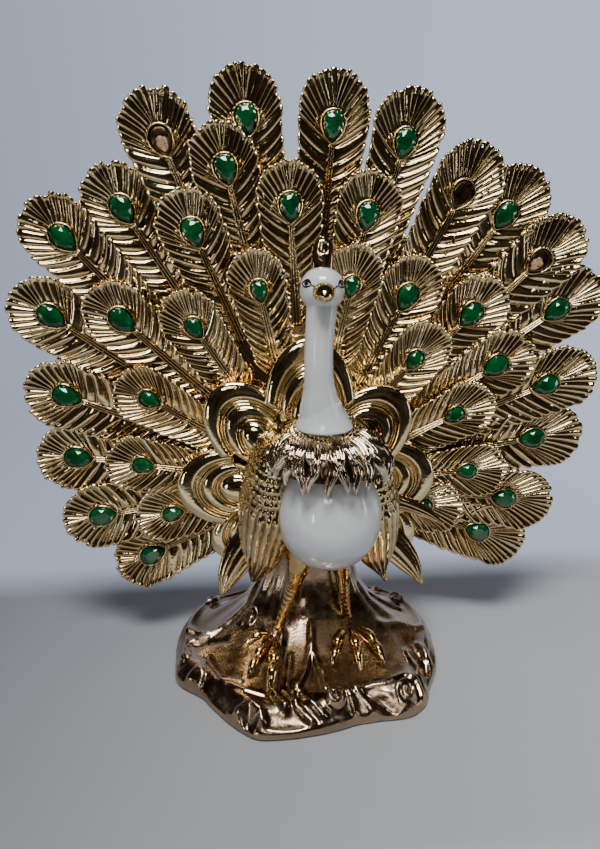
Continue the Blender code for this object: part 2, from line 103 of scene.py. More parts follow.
# Mesh helpers. A shell is (points in steps, list of faces), closed.

def around(count):
    """Even turns of a circle, in radians."""
    return np.linspace(0, 2 * pi, count, endpoint=False)


def grid_faces(rows, columns, around=False, start=0):
    """Quads between the points of a grid; around joins the last column to the first."""
    r = np.arange(rows - 1)[:, None]
    c = np.arange(columns if around else columns - 1)[None, :]
    n = (c + 1) % columns
    a, b = r * columns + c, r * columns + n
    quads = np.stack([a, b, b + columns, a + columns], axis=-1)
    return (quads.reshape(-1, 4) + start).tolist()


def tube(sections):
    """A closed shell through rows of points that run round its sections."""
    sections = np.asarray(sections, float)
    rows, columns = sections.shape[:2]
    faces = grid_faces(rows, columns, around=True)
    faces.append(list(range(columns))[::-1])
    faces.append(list(range((rows - 1) * columns, rows * columns)))
    return sections.reshape(-1, 3), faces


def make_piece(name, shells, material, node="peacock", flat=False, ride=True):
    """One piece of the scene from its shells, which rides on the frame and stands for a CAD node."""
    points, faces, start = [], [], 0
    for shell_points, shell_faces in shells:
        points.append(np.asarray(shell_points, float).reshape(-1, 3))
        faces += [[start + i for i in face] for face in shell_faces]
        start += len(points[-1])
    mesh = bpy.data.meshes.new(name)
    mesh.from_pydata((np.concatenate(points) * STEP).tolist(), [], faces)
    work = bmesh.new()
    work.from_mesh(mesh)
    bmesh.ops.recalc_face_normals(work, faces=work.faces)
    work.to_mesh(mesh)
    work.free()
    if flat:
        mesh.shade_flat()
    else:
        mesh.shade_smooth()
    made = bpy.data.objects.new(name, mesh)
    made.data.materials.append(material)
    bpy.context.scene.collection.objects.link(made)
    if ride:
        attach(made, "root")
        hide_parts(node)
    return made


# Materials.

def shader_material(name, colour, roughness, metallic):
    """A new material, its node tree and its shader."""
    made = bpy.data.materials.new(name)
    made.use_nodes = True
    shader = made.node_tree.nodes["Principled BSDF"]
    shader.inputs["Base Color"].default_value = (*colour, 1.0)
    shader.inputs["Roughness"].default_value = roughness
    shader.inputs["Metallic"].default_value = metallic
    return made, made.node_tree, shader


def noise_node(tree, scale, detail, space="Object"):
    """A noise that lies still on the object."""
    coords = tree.nodes.new("ShaderNodeTexCoord")
    node = tree.nodes.new("ShaderNodeTexNoise")
    node.inputs["Scale"].default_value = scale
    node.inputs["Detail"].default_value = detail
    tree.links.new(coords.outputs[space], node.inputs["Vector"])
    return node.outputs["Fac"]


def range_node(tree, source, low, high):
    """0 at low, 1 at high, and held level beyond them."""
    node = tree.nodes.new("ShaderNodeMapRange")
    node.inputs["From Min"].default_value = low
    node.inputs["From Max"].default_value = high
    tree.links.new(source, node.inputs["Value"])
    return node.outputs["Result"]


def mix_node(tree, factor, first, second, blend="MIX"):
    """A mix of two colours. Each input is another node's output or a plain value."""
    node = tree.nodes.new("ShaderNodeMix")
    node.data_type, node.blend_type = "RGBA", blend
    for name, value in (("Factor", factor), ("A", first), ("B", second)):
        if isinstance(value, bpy.types.NodeSocket):
            tree.links.new(value, node.inputs[name])
        else:
            node.inputs[name].default_value = value
    return node.outputs["Result"]


def ramp_node(tree, source, stops):
    """A ramp through stops of place and colour, or place and grey value."""
    node = tree.nodes.new("ShaderNodeValToRGB")
    ramp = node.color_ramp
    while len(ramp.elements) < len(stops):
        ramp.elements.new(0.5)
    for element, (place, colour) in zip(ramp.elements, stops):
        element.position = place
        element.color = (*colour, 1.0) if isinstance(colour, tuple) else (colour, colour, colour, 1.0)
    tree.links.new(source, node.inputs["Fac"])
    return node.outputs["Color"]


def bump_node(tree, source, strength, distance, shader):
    node = tree.nodes.new("ShaderNodeBump")
    node.inputs["Strength"].default_value = strength
    node.inputs["Distance"].default_value = distance
    tree.links.new(source, node.inputs["Height"])
    tree.links.new(node.outputs["Normal"], shader.inputs["Normal"])


def vary(tree, shader, name, scale, detail, stops):
    """Spread the colours or grey values of a noise over one of the shader's inputs."""
    tree.links.new(ramp_node(tree, noise_node(tree, scale, detail), stops), shader.inputs[name])


def gold_material(name, light, dark, hollow_shade, gloss_range):
    """Lustre gold over glaze. Here and there it thins to a darker film, and its hollows are darkened to brown
    as painted shade.
    """
    made, tree, shader = shader_material(name, light, 0.08, 1.0)
    film = ramp_node(tree, noise_node(tree, 38.0, 5.0), ((0.32, dark), (0.62, light)))
    form = tree.nodes.new("ShaderNodeNewGeometry")
    # Painted shade: the less pointed a place, the darker its colour, down to the hollow shade.
    shade = ramp_node(tree, form.outputs["Pointiness"],
                      ((0.42, hollow_shade), (0.505, (0.80, 0.77, 0.72)), (0.57, (1.0, 1.0, 1.0))))
    tree.links.new(mix_node(tree, 1.0, film, shade, "MULTIPLY"), shader.inputs["Base Color"])
    vary(tree, shader, "Roughness", 160.0, 3.0, ((0.35, gloss_range[0]), (0.75, gloss_range[1])))
    bump_node(tree, noise_node(tree, 520.0, 2.0), 0.25, 0.0004, shader)
    return made


def plain_material(name, colour, roughness, inputs, varied, ripple=None):
    """A glaze, stone, glue or paint, with further inputs of its shader and the one that a noise varies."""
    made, tree, shader = shader_material(name, colour, roughness, 0.0)
    for key, value in inputs.items():
        shader.inputs[key].default_value = value
    vary(tree, shader, *varied)
    if ripple:
        scale, strength, distance = ripple
        bump_node(tree, noise_node(tree, scale, 2.0), strength, distance, shader)
    return made


# The golds: full film, thin film, the painted shade of their hollows, and the range of roughness.
GOLD = gold_material("gold", (0.86, 0.72, 0.44), (0.68, 0.50, 0.26), (0.13, 0.065, 0.025), (0.05, 0.14))
# Smoother gold for the scales, and brighter in colour with lighter hollows as painted light for their broad
# reflections.
POLISHED_LIT_GOLD = gold_material(
    "polished_lit_gold", (0.94, 0.82, 0.52), (0.88, 0.74, 0.45), (0.58, 0.38, 0.17), (0.03, 0.09))
AMBER_GOLD = gold_material(
    "amber_gold", (0.86, 0.64, 0.30), (0.74, 0.44, 0.17), (0.28, 0.12, 0.03), (0.04, 0.12))
# The base's rosy gold, made darker as painted shade for the trunk beneath the body.
ROSE_SHADED_GOLD = gold_material(
    "rose_shaded_gold", (0.54, 0.41, 0.30), (0.42, 0.30, 0.21), (0.20, 0.11, 0.06), (0.12, 0.36))
# Greyer, pinker gold for the mantle's locks, darker as painted reflection of the dim room, with near-black
# hollows as painted shade between them.
LOCKS_REFLECTION_GOLD = gold_material(
    "locks_reflection_gold", (0.78, 0.68, 0.56), (0.52, 0.42, 0.32), (0.05, 0.035, 0.02), (0.04, 0.12))
# Near-black brown gold as painted shade: the skin under the mantle's locks, and the floors of the empty seats.
PAINTED_SHADE_GOLD = gold_material(
    "painted_shade_gold", (0.20, 0.14, 0.08), (0.12, 0.08, 0.05), (0.05, 0.03, 0.02), (0.20, 0.40))
GLAZE = plain_material(
    "white_glaze", (0.74, 0.78, 0.82), 0.16,
    {"Coat Weight": 1.0, "Coat Roughness": 0.04, "Subsurface Weight": 0.08,
     "Subsurface Radius": (0.004, 0.004, 0.003)},
    ("Base Color", 24.0, 3.0, ((0.3, (0.68, 0.73, 0.78)), (0.7, (0.78, 0.81, 0.84)))), (90.0, 0.12, 0.0006))
GREEN = plain_material(
    "green_stone", (0.0, 0.20, 0.06), 0.03,
    {"Transmission Weight": 0.3, "IOR": 1.6, "Coat Weight": 0.5, "Coat Roughness": 0.02},
    ("Base Color", 130.0, 2.0, ((0.35, (0.0, 0.055, 0.014)), (0.68, (0.0, 0.15, 0.035)))))
GLUE = plain_material("glue", (0.55, 0.33, 0.18), 0.5, {},
                      ("Base Color", 400.0, 3.0, ((0.35, (0.24, 0.13, 0.06)), (0.65, (0.62, 0.40, 0.25)))))
# Black paint for the eyes, also used for the nostrils as painted shade.
BLACK_PAINT_AND_SHADE = plain_material("black_paint_and_shade", (0.012, 0.011, 0.012), 0.2, {},
                       ("Roughness", 900.0, 2.0, ((0.3, 0.15), (0.8, 0.35))))


# The fan's face.

def face_depth(x, z):
    """How far back the fan's face lies at a place."""
    rise = z - ROOT_HEIGHT
    return FACE_DEPTH + LEAN * rise - DISH * (x * x + rise * rise) / REACH**2


def feather_frame(bearing, distance, layer):
    """Centre and axes of a feather at its eye: across, along it towards its tip, and out of its face."""
    turn = radians(bearing)
    x, z = distance * sin(turn), ROOT_HEIGHT + distance * cos(turn)
    rise = z - ROOT_HEIGHT
    out = unit([-2 * DISH * x / REACH**2, -1, LEAN - 2 * DISH * rise / REACH**2])
    along = np.array([sin(turn), 0, cos(turn)])
    along = unit(along - out * along.dot(out))
    across = np.cross(out, along)
    return np.array([x, face_depth(x, z) - layer, z]), across, along, out


def placed(feather, a, b, h):
    """Points at a across, b along and h out of a feather."""
    centre, across, along, out = feather
    a, b, h = np.broadcast_arrays(a, b, h)
    return centre + a[..., None] * across + b[..., None] * along + h[..., None] * out


# Feathers.

PEAR_TAPER = 0.5
# Barbs of half a feather: those that fan out round the eye, those at the side, and the first ones' share.
TOP_BARBS = 9
SIDE_BARBS = 10
TOP_SHARE = 0.34
# How much the barbs differ in width, in height and in length, and the depth of a notch in the rim.
PITCH_SPREAD = 0.32
STRENGTH_SPREAD = 0.35
REACH_SPREAD = 0.35
NOTCH = 1.4
BARB_BEND = 3.2
BEND_SPREAD = 1.2
# Points across a barb, and points along it from the quill to the rim.
BARB_SAMPLES = 7
BARB_REACH = (0, 0.07, 0.18, 0.3, 0.42, 0.54, 0.66, 0.77, 0.86, 0.93, 0.98, 1.0)
BARB_RISE = 12.0
BEZEL_MARGIN = 0.9
TAIL_DROP = 2.2
BEZEL_TOP = 2.2
RIM_THICKNESS = 2.2


def pear(length, width, turn, grow=0.0):
    """Point of a pear outline, in steps: turn is pi at the round end and 0 at the point."""
    turns = np.linspace(0, pi, 181)
    fullest = (np.sin(turns) * np.sin(turns / 2) ** PEAR_TAPER).max()
    swell = np.sin(turn) * np.abs(np.sin(turn / 2)) ** PEAR_TAPER / fullest
    return (width / 2 + grow) * swell, -(length / 2 + grow) * np.cos(turn)


def outline_table(half_width, tip, tail):
    """One side of a feather's outline from its tip to its tail, at even distances."""
    middle = tip - half_width
    arc = np.linspace(0, radians(97), 60)
    head = np.stack([half_width * np.sin(arc), middle + half_width * np.cos(arc)], axis=-1)
    down = np.linspace(0, 1, 60)[1:]
    start = head[-1]
    width = start[0] * (1 - 0.30 * down)
    side = np.stack([width, start[1] + (BARB_RISE - tail - start[1]) * down], axis=-1)
    line = np.concatenate([head, side])
    length = np.concatenate([[0], np.cumsum(np.linalg.norm(np.diff(line, axis=0), axis=1))])
    share = np.linspace(0, 1, 400)
    return share, np.stack([np.interp(share * length[-1], length, line[:, k]) for k in (0, 1)], axis=-1)


def blade_side(half_width, tip, tail, stone, random):
    """Grid of (across, along, height, smooth height) for the right half of a blade, barb by barb."""
    length, width = stone
    count = TOP_BARBS + SIDE_BARBS
    pitch = np.concatenate([np.full(TOP_BARBS, TOP_SHARE / TOP_BARBS),
                            np.full(SIDE_BARBS, (1 - TOP_SHARE) / SIDE_BARBS)])
    pitch = pitch * (1 + PITCH_SPREAD * random.uniform(-1, 1, count))
    bounds = np.concatenate([[0], np.cumsum(pitch)]) / pitch.sum()
    number = np.append(np.repeat(np.arange(count), BARB_SAMPLES), count - 1)
    phase = np.append(np.tile(np.arange(BARB_SAMPLES) / BARB_SAMPLES, count), 1.0)
    t = bounds[number] + (bounds[number + 1] - bounds[number]) * phase
    sideways = smooth(TOP_SHARE * 0.7, TOP_SHARE * 1.3, t)
    strength = 1 + STRENGTH_SPREAD * random.uniform(-1, 1, count)
    reach = REACH_SPREAD * random.normal(size=count)
    reach[random.integers(1, TOP_BARBS, 2)] -= NOTCH
    ridge = np.sin(pi * phase ** 0.85) ** 0.65

    turn = pi * (1 - np.clip(t / TOP_SHARE, 0, 1) ** 1.9)
    inner_a, inner_b = pear(length, width, turn, BEZEL_MARGIN)
    below = np.clip((t - TOP_SHARE) / (1 - TOP_SHARE), 0, 1)
    point = -(length / 2 + BEZEL_MARGIN)
    inner_a = np.where(t > TOP_SHARE, 0.4, inner_a)
    inner_b = np.where(t > TOP_SHARE, point + (-tail - point) * below, inner_b)

    share, table = outline_table(half_width, tip, tail)
    outer_a = np.interp(t, share, table[:, 0])
    outer_b = np.interp(t, share, table[:, 1])
    way = unit(np.stack([outer_a - inner_a, outer_b - inner_b], axis=-1))
    extend = (0.5 + 0.6 * sideways) * (ridge - 0.7) + reach[number] * smooth(0, 0.5, ridge)
    outer_a, outer_b = outer_a + way[:, 0] * extend, outer_b + way[:, 1] * extend

    s = np.array(BARB_REACH)[None, :]
    sway = random.uniform(-1, 1, count)[number]
    bend = (BARB_BEND + BEND_SPREAD * sway * np.sin(pi * phase))[:, None] * sideways[:, None]
    control_a = 0.5 * (inner_a + outer_a)[:, None] + 0.25 * bend
    control_b = 0.5 * (inner_b + outer_b)[:, None] - bend
    a = (1 - s) ** 2 * inner_a[:, None] + 2 * s * (1 - s) * control_a + s**2 * outer_a[:, None]
    b = (1 - s) ** 2 * inner_b[:, None] + 2 * s * (1 - s) * control_b + s**2 * outer_b[:, None]

    cup = (1.5 + 0.5 * (1 - smooth(0, 0.3, t)))[:, None] * s**1.7
    lip = (0.9 * (1 - 0.5 * sideways))[:, None] * smooth(0.84, 0.97, s)
    wave = 0.5 * np.sin(2 * pi * (2.5 * t + random.uniform()))[:, None] * s
    drop = TAIL_DROP * np.clip(-b / tail, 0, 1) ** 2
    low = cup + wave - drop
    size = (1.15 + 0.75 * sideways) * strength[number]
    body = smooth(0.0, 0.28, s) * (1 - 0.25 * smooth(0.85, 1, s))
    rise = (size * (ridge - 0.25))[:, None] * body
    edge = np.where(s > 0.99, 1.0, np.where(s > 0.97, 0.35, 0.0))
    return a, b, low + rise + lip - edge, low


def blade_shell(feather, half_width, tip, tail, stone, random):
    """A closed, cupped blade with carved barbs on its face."""
    halves = []
    for side in (1, -1):
        a, b, high, low = blade_side(half_width, tip, tail, stone, random)
        halves.append([side * a, b, high, low])
    right, left = halves
    middle = len(left[0]) - 1
    for k in range(1, 4):
        right[k][0] = left[k][0] = (right[k][0] + left[k][0]) / 2
    right[0][0] = 0.0
    a, b, high, low = [np.concatenate([one[:0:-1], other]) for one, other in zip(left, right)]
    front = placed(feather, a, b, high)
    inward = [len(BARB_REACH) - 1, 8, 4, 0]
    thickness = np.array([RIM_THICKNESS, RIM_THICKNESS + 0.4, 3.2, 3.8])[None, :]
    behind = low[:, inward] - thickness + 0.35 * (high - low)[:, inward]
    back = placed(feather, a[:, inward], b[:, inward], behind)
    rows, columns = a.shape[0], a.shape[1] + len(inward)
    grid = np.concatenate([front, back], axis=1)
    faces = grid_faces(rows, columns)
    last = columns - 1
    for k in range(middle):
        n, o, m = k + 1, rows - 2 - k, rows - 1 - k
        if n <= o:
            loop = [k, n, m] if n == o else [k, n, o, m]
            faces.append([row * columns for row in loop])
            faces.append([row * columns + last for row in loop[:1] + loop[:0:-1]])
    tail_row = list(range(columns))
    faces.append(tail_row + [(rows - 1) * columns + k for k in reversed(tail_row)])
    return grid.reshape(-1, 3), faces


def shaft_shell(feather, tail, stone):
    """The quill: three ridges side by side, from the stone's point to the tail."""
    start = -(stone[0] / 2 + 0.4)
    along = np.linspace(start, -tail, 30)
    share = (along - start) / (-tail - start)
    half = 1.7 + 1.5 * share
    across = np.linspace(-1, 1, 19)
    ridge = np.abs(np.cos(1.5 * pi * across)) ** 0.7
    height = 0.6 + 0.95 * ridge - 0.9 * np.abs(across) ** 6
    drop = TAIL_DROP * (along / tail) ** 2
    half, along, drop = half[:, None], along[:, None], drop[:, None]
    top = placed(feather, half * across, along, height[None, :] - drop)
    under = placed(feather, half * np.array([0.9, -0.9]), along, -1.6 - drop)
    return tube(np.concatenate([top, under], axis=1))


# The collar's section from its foot to its seat: how far outside the stone, and height.
BEZEL_SECTION = ((1.8, -1.2), (1.35, 0.5), (1.05, 1.5), (0.75, 2.05), (0.4, 2.2), (0.12, 1.9), (0.0, 1.4))


def bezel_shell(feather, stone, floor):
    """The raised pear-shaped collar of a stone, with its seat."""
    turn = np.linspace(-pi, pi, 73)[:-1]
    rows = []
    for grow, height in (*BEZEL_SECTION, (0.0, floor)):
        a, b = pear(*stone, turn, STONE_GAP / STEP + grow)
        rows.append(placed(feather, a, b, height))
    return tube(np.array(rows))


# A stone's rows: share of its outline, share of its rise, and how far its corners are turned.
STONE_ROWS = ((1.0, 0.0, 0.0), (1.0, 0.34, 0.0), (0.82, 0.72, 0.5), (0.56, 1.0, 0.0))
STONE_SIDES = 12


def stone_shell(feather, stone, rise, floor):
    """A stone with a girdle, two rings of facets and a table."""
    rows = []
    for share, height, offset in STONE_ROWS:
        turn = -pi + 2 * pi * (np.arange(STONE_SIDES) + offset) / STONE_SIDES
        a, b = pear(*stone, turn)
        rows.append(placed(feather, a * share, b * share, floor + STONE_GAP / STEP + rise * height))
    points = np.array(rows).reshape(-1, 3)
    n = STONE_SIDES
    faces = [list(range(n))[::-1], list(range(3 * n, 4 * n))]
    for k in range(n):
        m = (k + 1) % n
        faces.append([k, m, n + m, n + k])
        faces.append([n + k, n + m, 2 * n + k])
        faces.append([n + m, 2 * n + m, 2 * n + k])
        faces.append([2 * n + k, 2 * n + m, 3 * n + m])
        faces.append([2 * n + k, 3 * n + m, 3 * n + k])
    return points, faces


# A skin in an empty seat, from its edge inwards: share of its outline, and height.
SEAT_ROWS = ((1.0, -0.4), (1.0, 0.2), (0.8, 0.45), (0.3, 0.35))
# The glue's share of the seat, and how far it lies towards the point.
GLUE_SHARE = 0.58
GLUE_SHIFT = 1.8


def seat_shell(feather, stone, floor, share, shift):
    """A skin on the floor of an empty seat, over a share of its size and shifted towards its point."""
    turn = np.linspace(-pi, pi, 49)[:-1]
    a, b = pear(*stone, turn, -0.1)
    rows = []
    for inner, height in SEAT_ROWS:
        rise = (height + 0.12 * np.sin(5 * turn)) * (0.6 + 0.8 * (1 - share))
        rows.append(placed(feather, a * share * inner, b * share * inner - shift, floor + rise))
    return tube(np.array(rows))


# The rings of feathers: name and places; half width, tip, how much longer the tip is on the bird's left, and
# tail; how far forward they lie; stone and its rise; and the empty seats.
RINGS = (
    ("outer", OUTER_FEATHERS, (19.4, 27.0, 4.0, 74.0), 0.0, LARGE_STONE, STONE_RISE, EMPTY_SEATS),
    ("middle", MIDDLE_FEATHERS, (18.4, 24.0, 1.0, 64.0), 4.0, LARGE_STONE, STONE_RISE, ()),
    ("inner", INNER_FEATHERS, (16.6, 23.5, 2.0, 52.0), 8.0, SMALL_STONE, SMALL_STONE_RISE, ()),
)


def tail_fan():
    """All feathers, each with its quill and bezel, and the stones in them."""
    for ring, places, (half_width, tip, longer, tail), layer, stone_size, rise, empty in RINGS:
        stone = tuple(value / STEP for value in stone_size)
        for i, (bearing, share) in enumerate(places):
            feather = feather_frame(bearing, share * REACH, layer + OVERLAP_STEP * (i % 2))
            length = tip + longer * sin(radians(bearing))
            random = np.random.default_rng(100 + int(abs(bearing) * 10))
            floor = BEZEL_TOP - (POCKET_DEPTH if i in empty else SEAT_DEPTH) / STEP
            shells = [
                blade_shell(feather, half_width, length, tail, stone, random),
                shaft_shell(feather, tail, stone),
                bezel_shell(feather, stone, floor),
            ]
            make_piece(f"{ring}_feather_{i + 1:02d}", shells, GOLD)
            if i in empty:
                # Painted shade: the floor of an empty seat is a near-black gold skin.
                seat = seat_shell(feather, stone, floor, 1.0, 0.0)
                make_piece(f"{ring}_seat_{i + 1:02d}", [seat], PAINTED_SHADE_GOLD)
                if i in GLUED_SEATS:
                    glue = seat_shell(feather, stone, floor, GLUE_SHARE, GLUE_SHIFT)
                    make_piece(f"{ring}_glue_{i + 1:02d}", [glue], GLUE)
            else:
                gem = stone_shell(feather, stone, rise / STEP, floor)
                make_piece(f"{ring}_gem_{i + 1:02d}", [gem], GREEN,
                           f"{ring}_stone_{i + 1:02d}", flat=True)


tail_fan()


# Smooth bodies.

def curve(values, count):
    """A smooth curve through rows of values, at even steps of its parameter."""
    values = np.asarray(values, float)
    last = len(values) - 1
    u = np.linspace(0, last, count)
    i = np.minimum(u.astype(int), last - 1)
    f = (u - i)[:, None]
    padded = np.concatenate([2 * values[:1] - values[1:2], values, 2 * values[-1:] - values[-2:-1]])
    p0, p1, p2, p3 = (padded[i + k] for k in range(4))
    return 0.5 * (2 * p1 + (p2 - p0) * f + (2 * p0 - 5 * p1 + 4 * p2 - p3) * f**2
                  + (3 * p1 - p0 - 3 * p2 + p3) * f**3)


def loft(stations, rows, columns, reference=(1, 0, 0), shape=None, upright=False):
    """A closed tube through stations of centre, half width and half depth.

    shape scales its radius by the share of its length and the turn round it; upright keeps its sections level.
    """
    table = curve([(*centre, width, depth) for centre, width, depth in stations], rows)
    centre, half = table[:, :3], np.maximum(table[:, 3:], 0.25)
    reference = np.asarray(reference, float)
    tangent = unit(np.gradient(centre, axis=0))
    if upright:
        tangent = np.zeros_like(tangent) + [0, 0, np.sign(centre[-1, 2] - centre[0, 2])]
    side = unit(reference - tangent * (tangent @ reference)[:, None])
    up = np.cross(tangent, side)
    turn = around(columns)
    swell = 1.0 if shape is None else shape(np.linspace(0, 1, rows)[:, None], turn[None, :])
    a = half[:, :1] * np.cos(turn) * swell
    b = half[:, 1:] * np.sin(turn) * swell
    return tube(centre[:, None] + a[..., None] * side[:, None] + b[..., None] * up[:, None])


def ellipsoid(centre, radii, rows=40, columns=64, fullness=1.0):
    """A closed ellipsoid. A fullness below 1 makes its sides more upright."""
    lift = np.linspace(-pi / 2 + 0.02, pi / 2 - 0.02, rows)[:, None]
    turn = around(columns)[None, :]
    level = np.cos(lift) ** fullness
    shape = np.stack(np.broadcast_arrays(level * np.cos(turn), level * np.sin(turn), np.sin(lift)), -1)
    return tube(np.asarray(centre) + shape * np.asarray(radii))


def fuse(shells, voxel, rounds):
    """Shells joined into one smooth skin."""
    made = make_piece("fused", shells, GOLD, ride=False)
    skin = made.modifiers.new("skin", "REMESH")
    skin.mode, skin.voxel_size = "VOXEL", voxel * STEP
    soften = made.modifiers.new("soften", "SMOOTH")
    soften.factor, soften.iterations = 0.5, rounds
    mesh = made.evaluated_get(bpy.context.evaluated_depsgraph_get()).to_mesh()
    points = np.array([vertex.co for vertex in mesh.vertices]) / STEP
    faces = [list(face.vertices) for face in mesh.polygons]
    used = made.data
    bpy.data.objects.remove(made)
    bpy.data.meshes.remove(used)
    return points, faces


def strand(path, outward, half_widths, thickness, ridges, sink=1.0):
    """A flat lock along a path, with ridges on its outer face and tapered by its half widths."""
    path, outward = np.asarray(path, float), np.asarray(outward, float)
    tangent = unit(np.gradient(path, axis=0))
    outward = unit(outward - tangent * (outward * tangent).sum(-1)[:, None])
    side = np.cross(tangent, outward)
    across = np.linspace(-1, 1, ridges * 6 + 1)
    ripple = np.abs(np.sin(ridges * pi * (across + 1) / 2)) ** 0.7
    bulge = ripple * 0.45 + 0.55 * np.sqrt(1 - across**2 * 0.96)
    half = np.asarray(half_widths, float)[:, None]
    lift = thickness * bulge[None, :] * np.minimum(1, half / max(half.max(), 1e-6) * 1.6) ** 0.7
    top = path[:, None] + (half * across)[..., None] * side[:, None] + lift[..., None] * outward[:, None]
    low = half * np.array([0.86, 0.0, -0.86])
    drop = -sink * np.array([0.6, 1.0, 0.6]) * np.ones_like(half)
    under = path[:, None] + low[..., None] * side[:, None] + drop[..., None] * outward[:, None]
    return tube(np.concatenate([top, under], axis=1))


# The shell behind the feathers and the smooth scales round the bird's back.

# The backing's edge as a share of the feathers' reach, and that reach below the lowest of them.
BACKING_SHARE = 0.80
LOWER_REACH = 0.30
# The backing's front and back: share of the way to its edge, and how far it lies before or behind the face.
BACKING_FRONT = ((0.02, 6.0), (0.3, 4.0), (0.5, 0.5), (0.78, -2.0), (0.93, -2.2), (0.985, -2.4))
BACKING_BACK = ((1.0, 1.5), (0.985, 3.2), (0.93, 4.2), (0.78, 5.6), (0.42, 7.0), (0.02, 7.5))
BACK_FLUTES = 57
# The smooth scales: bearing, reach, half width, and how far forward each lies.
PETALS = (
    (-84.0, 76, 23, 16.0), (82.0, 75, 23, 16.0), (-40.0, 82, 23, 20.0), (42.0, 79, 23, 20.0),
    (0.0, 91, 25, 25.0), (-122.0, 66, 17, 13.0), (118.0, 72, 17, 13.0),
)
PETAL_ROOT = 16.0
PETAL_ROWS, PETAL_COLUMNS = 70, 100
# A scale from rim to heart: share of its outline and how far it stands forward.
PETAL_STEPS = (
    (1.0, -1.2), (1.0, 0.2), (0.985, 1.1), (0.95, 1.9), (0.90, 2.5), (0.84, 2.9), (0.79, 2.9),
    (0.762, 2.2), (0.748, 0.9), (0.732, 1.7), (0.715, 2.0), (0.70, 1.3), (0.684, 1.9), (0.668, 2.0),
    (0.652, 0.9), (0.62, 1.9), (0.57, 2.5), (0.51, 2.7), (0.475, 2.0), (0.462, 0.7), (0.446, 1.6),
    (0.43, 1.7), (0.415, 0.8), (0.39, 2.0), (0.33, 3.5), (0.24, 4.6), (0.13, 5.2), (0.02, 5.4),
)


def envelope(bearing):
    """How far the fan reaches at a bearing, as a share of REACH."""
    known = [(-180.0, LOWER_REACH), (-140.0, LOWER_REACH), *OUTER_FEATHERS,
             (140.0, LOWER_REACH), (180.0, LOWER_REACH)]
    return np.interp(bearing, *zip(*known))


def fan_surface(bearing, reach, forward):
    """Points at a bearing in degrees and a distance from the fan's root, forward of its face."""
    turn = np.radians(bearing)
    x, z = reach * np.sin(turn), ROOT_HEIGHT + reach * np.cos(turn)
    return np.stack(np.broadcast_arrays(x, face_depth(x, z) - forward, z), axis=-1)


def backing():
    """The shell behind the feathers, fluted at its back."""
    bearing = np.linspace(-180, 180, BACK_FLUTES * 8, endpoint=False)
    edge = envelope(bearing) * BACKING_SHARE * REACH
    flute = np.abs(np.sin(np.radians(bearing) * BACK_FLUTES / 2)) ** 0.7
    rows = [fan_surface(bearing, edge * share, forward) for share, forward in BACKING_FRONT]
    rows += [fan_surface(bearing, edge * share, -depth - 1.6 * flute * smooth(0.1, 0.5, share) + 0.8)
             for share, depth in BACKING_BACK]
    make_piece("fan_backing", [tube(np.array(rows))], GOLD)


def petal(number, bearing, reach, half_width, layer):
    """A smooth scale: a broad outer band, double ridges, and a domed heart."""
    length, middle = (reach - PETAL_ROOT) / 2, (reach + PETAL_ROOT) / 2
    turn = around(PETAL_COLUMNS)
    narrow = np.where(np.cos(turn) < 0, 0.72 + 0.28 * np.cos(turn), 1.0)
    way = radians(bearing)
    rows = []
    for share, rise in (*curve(PETAL_STEPS, PETAL_ROWS)[::-1], (0.96, None), (0.02, None)):
        across = half_width * np.sin(turn) * share * narrow
        along = length * (share * (np.cos(turn) + 0.35) - 0.35)
        x = (middle + along) * sin(way) + across * cos(way)
        z = ROOT_HEIGHT + (middle + along) * cos(way) - across * sin(way)
        forward = 1.0 if rise is None else layer + rise
        rows.append(np.stack([x, face_depth(x, z) - forward, z], axis=-1))
    make_piece(f"scale_{number}", [tube(np.array(rows))], POLISHED_LIT_GOLD)


# The bird, with centres and half sizes in steps.

BREAST = ((7, -14, 103), (28.5, 31, 31))
RUMP = ((6, 16, 107), (44, 29, 42))
NECK = (
    ((3, -14, 140), 16, 16), ((3, -20, 151), 13.6, 12.5), ((1, -23, 161), 10.4, 10),
    ((0, -25, 172), 7.6, 8), ((-0.5, -26, 184), 6.9, 7.2), ((0, -25.5, 197), 6.9, 7.0),
    ((1, -24, 209), 7.2, 7.6), ((1.3, -22, 217), 7.4, 8.2),
)
HEAD = ((1.3, -22.0, 217.6), (10.4, 12.0, 9.6))
# A bell-shaped lip where the neck meets the mantle.
LIP = (
    ((1.6, -23, 164), 9.4, 9.6), ((2.3, -22.5, 158), 11.0, 11.2), ((2.8, -22, 154), 13.2, 13.2),
    ((3.0, -22, 151.8), 14.2, 14.4), ((3.0, -22, 150.8), 14.2, 14.4),
)
BEAK = (
    ((1.0, -28, 217.0), 5.6, 5.0), ((0.8, -33, 216.6), 5.2, 4.6), ((0.6, -37, 215.8), 4.2, 3.7),
    ((0.4, -39.6, 215.0), 2.6, 2.3), ((0.3, -40.8, 214.5), 0.6, 0.6),
)
CREST = (
    ((1.6, -18, 221), 4.4, 2.8), ((2.0, -17, 228), 5.2, 3.0), ((2.3, -16, 234), 5.2, 2.9),
    ((2.5, -15.6, 238), 4.2, 2.4), ((2.6, -15.5, 240.4), 1.6, 1.0),
)
WING = (
    ((21, -2, 141), 6, 10), ((26, -2, 130), 12, 21), ((29, 0, 112), 14, 27), ((31, 2, 92), 13.5, 25),
    ((33, 2, 74), 11, 18), ((37, 3, 60), 4.5, 9), ((39, 4, 53), 1.4, 3),
)
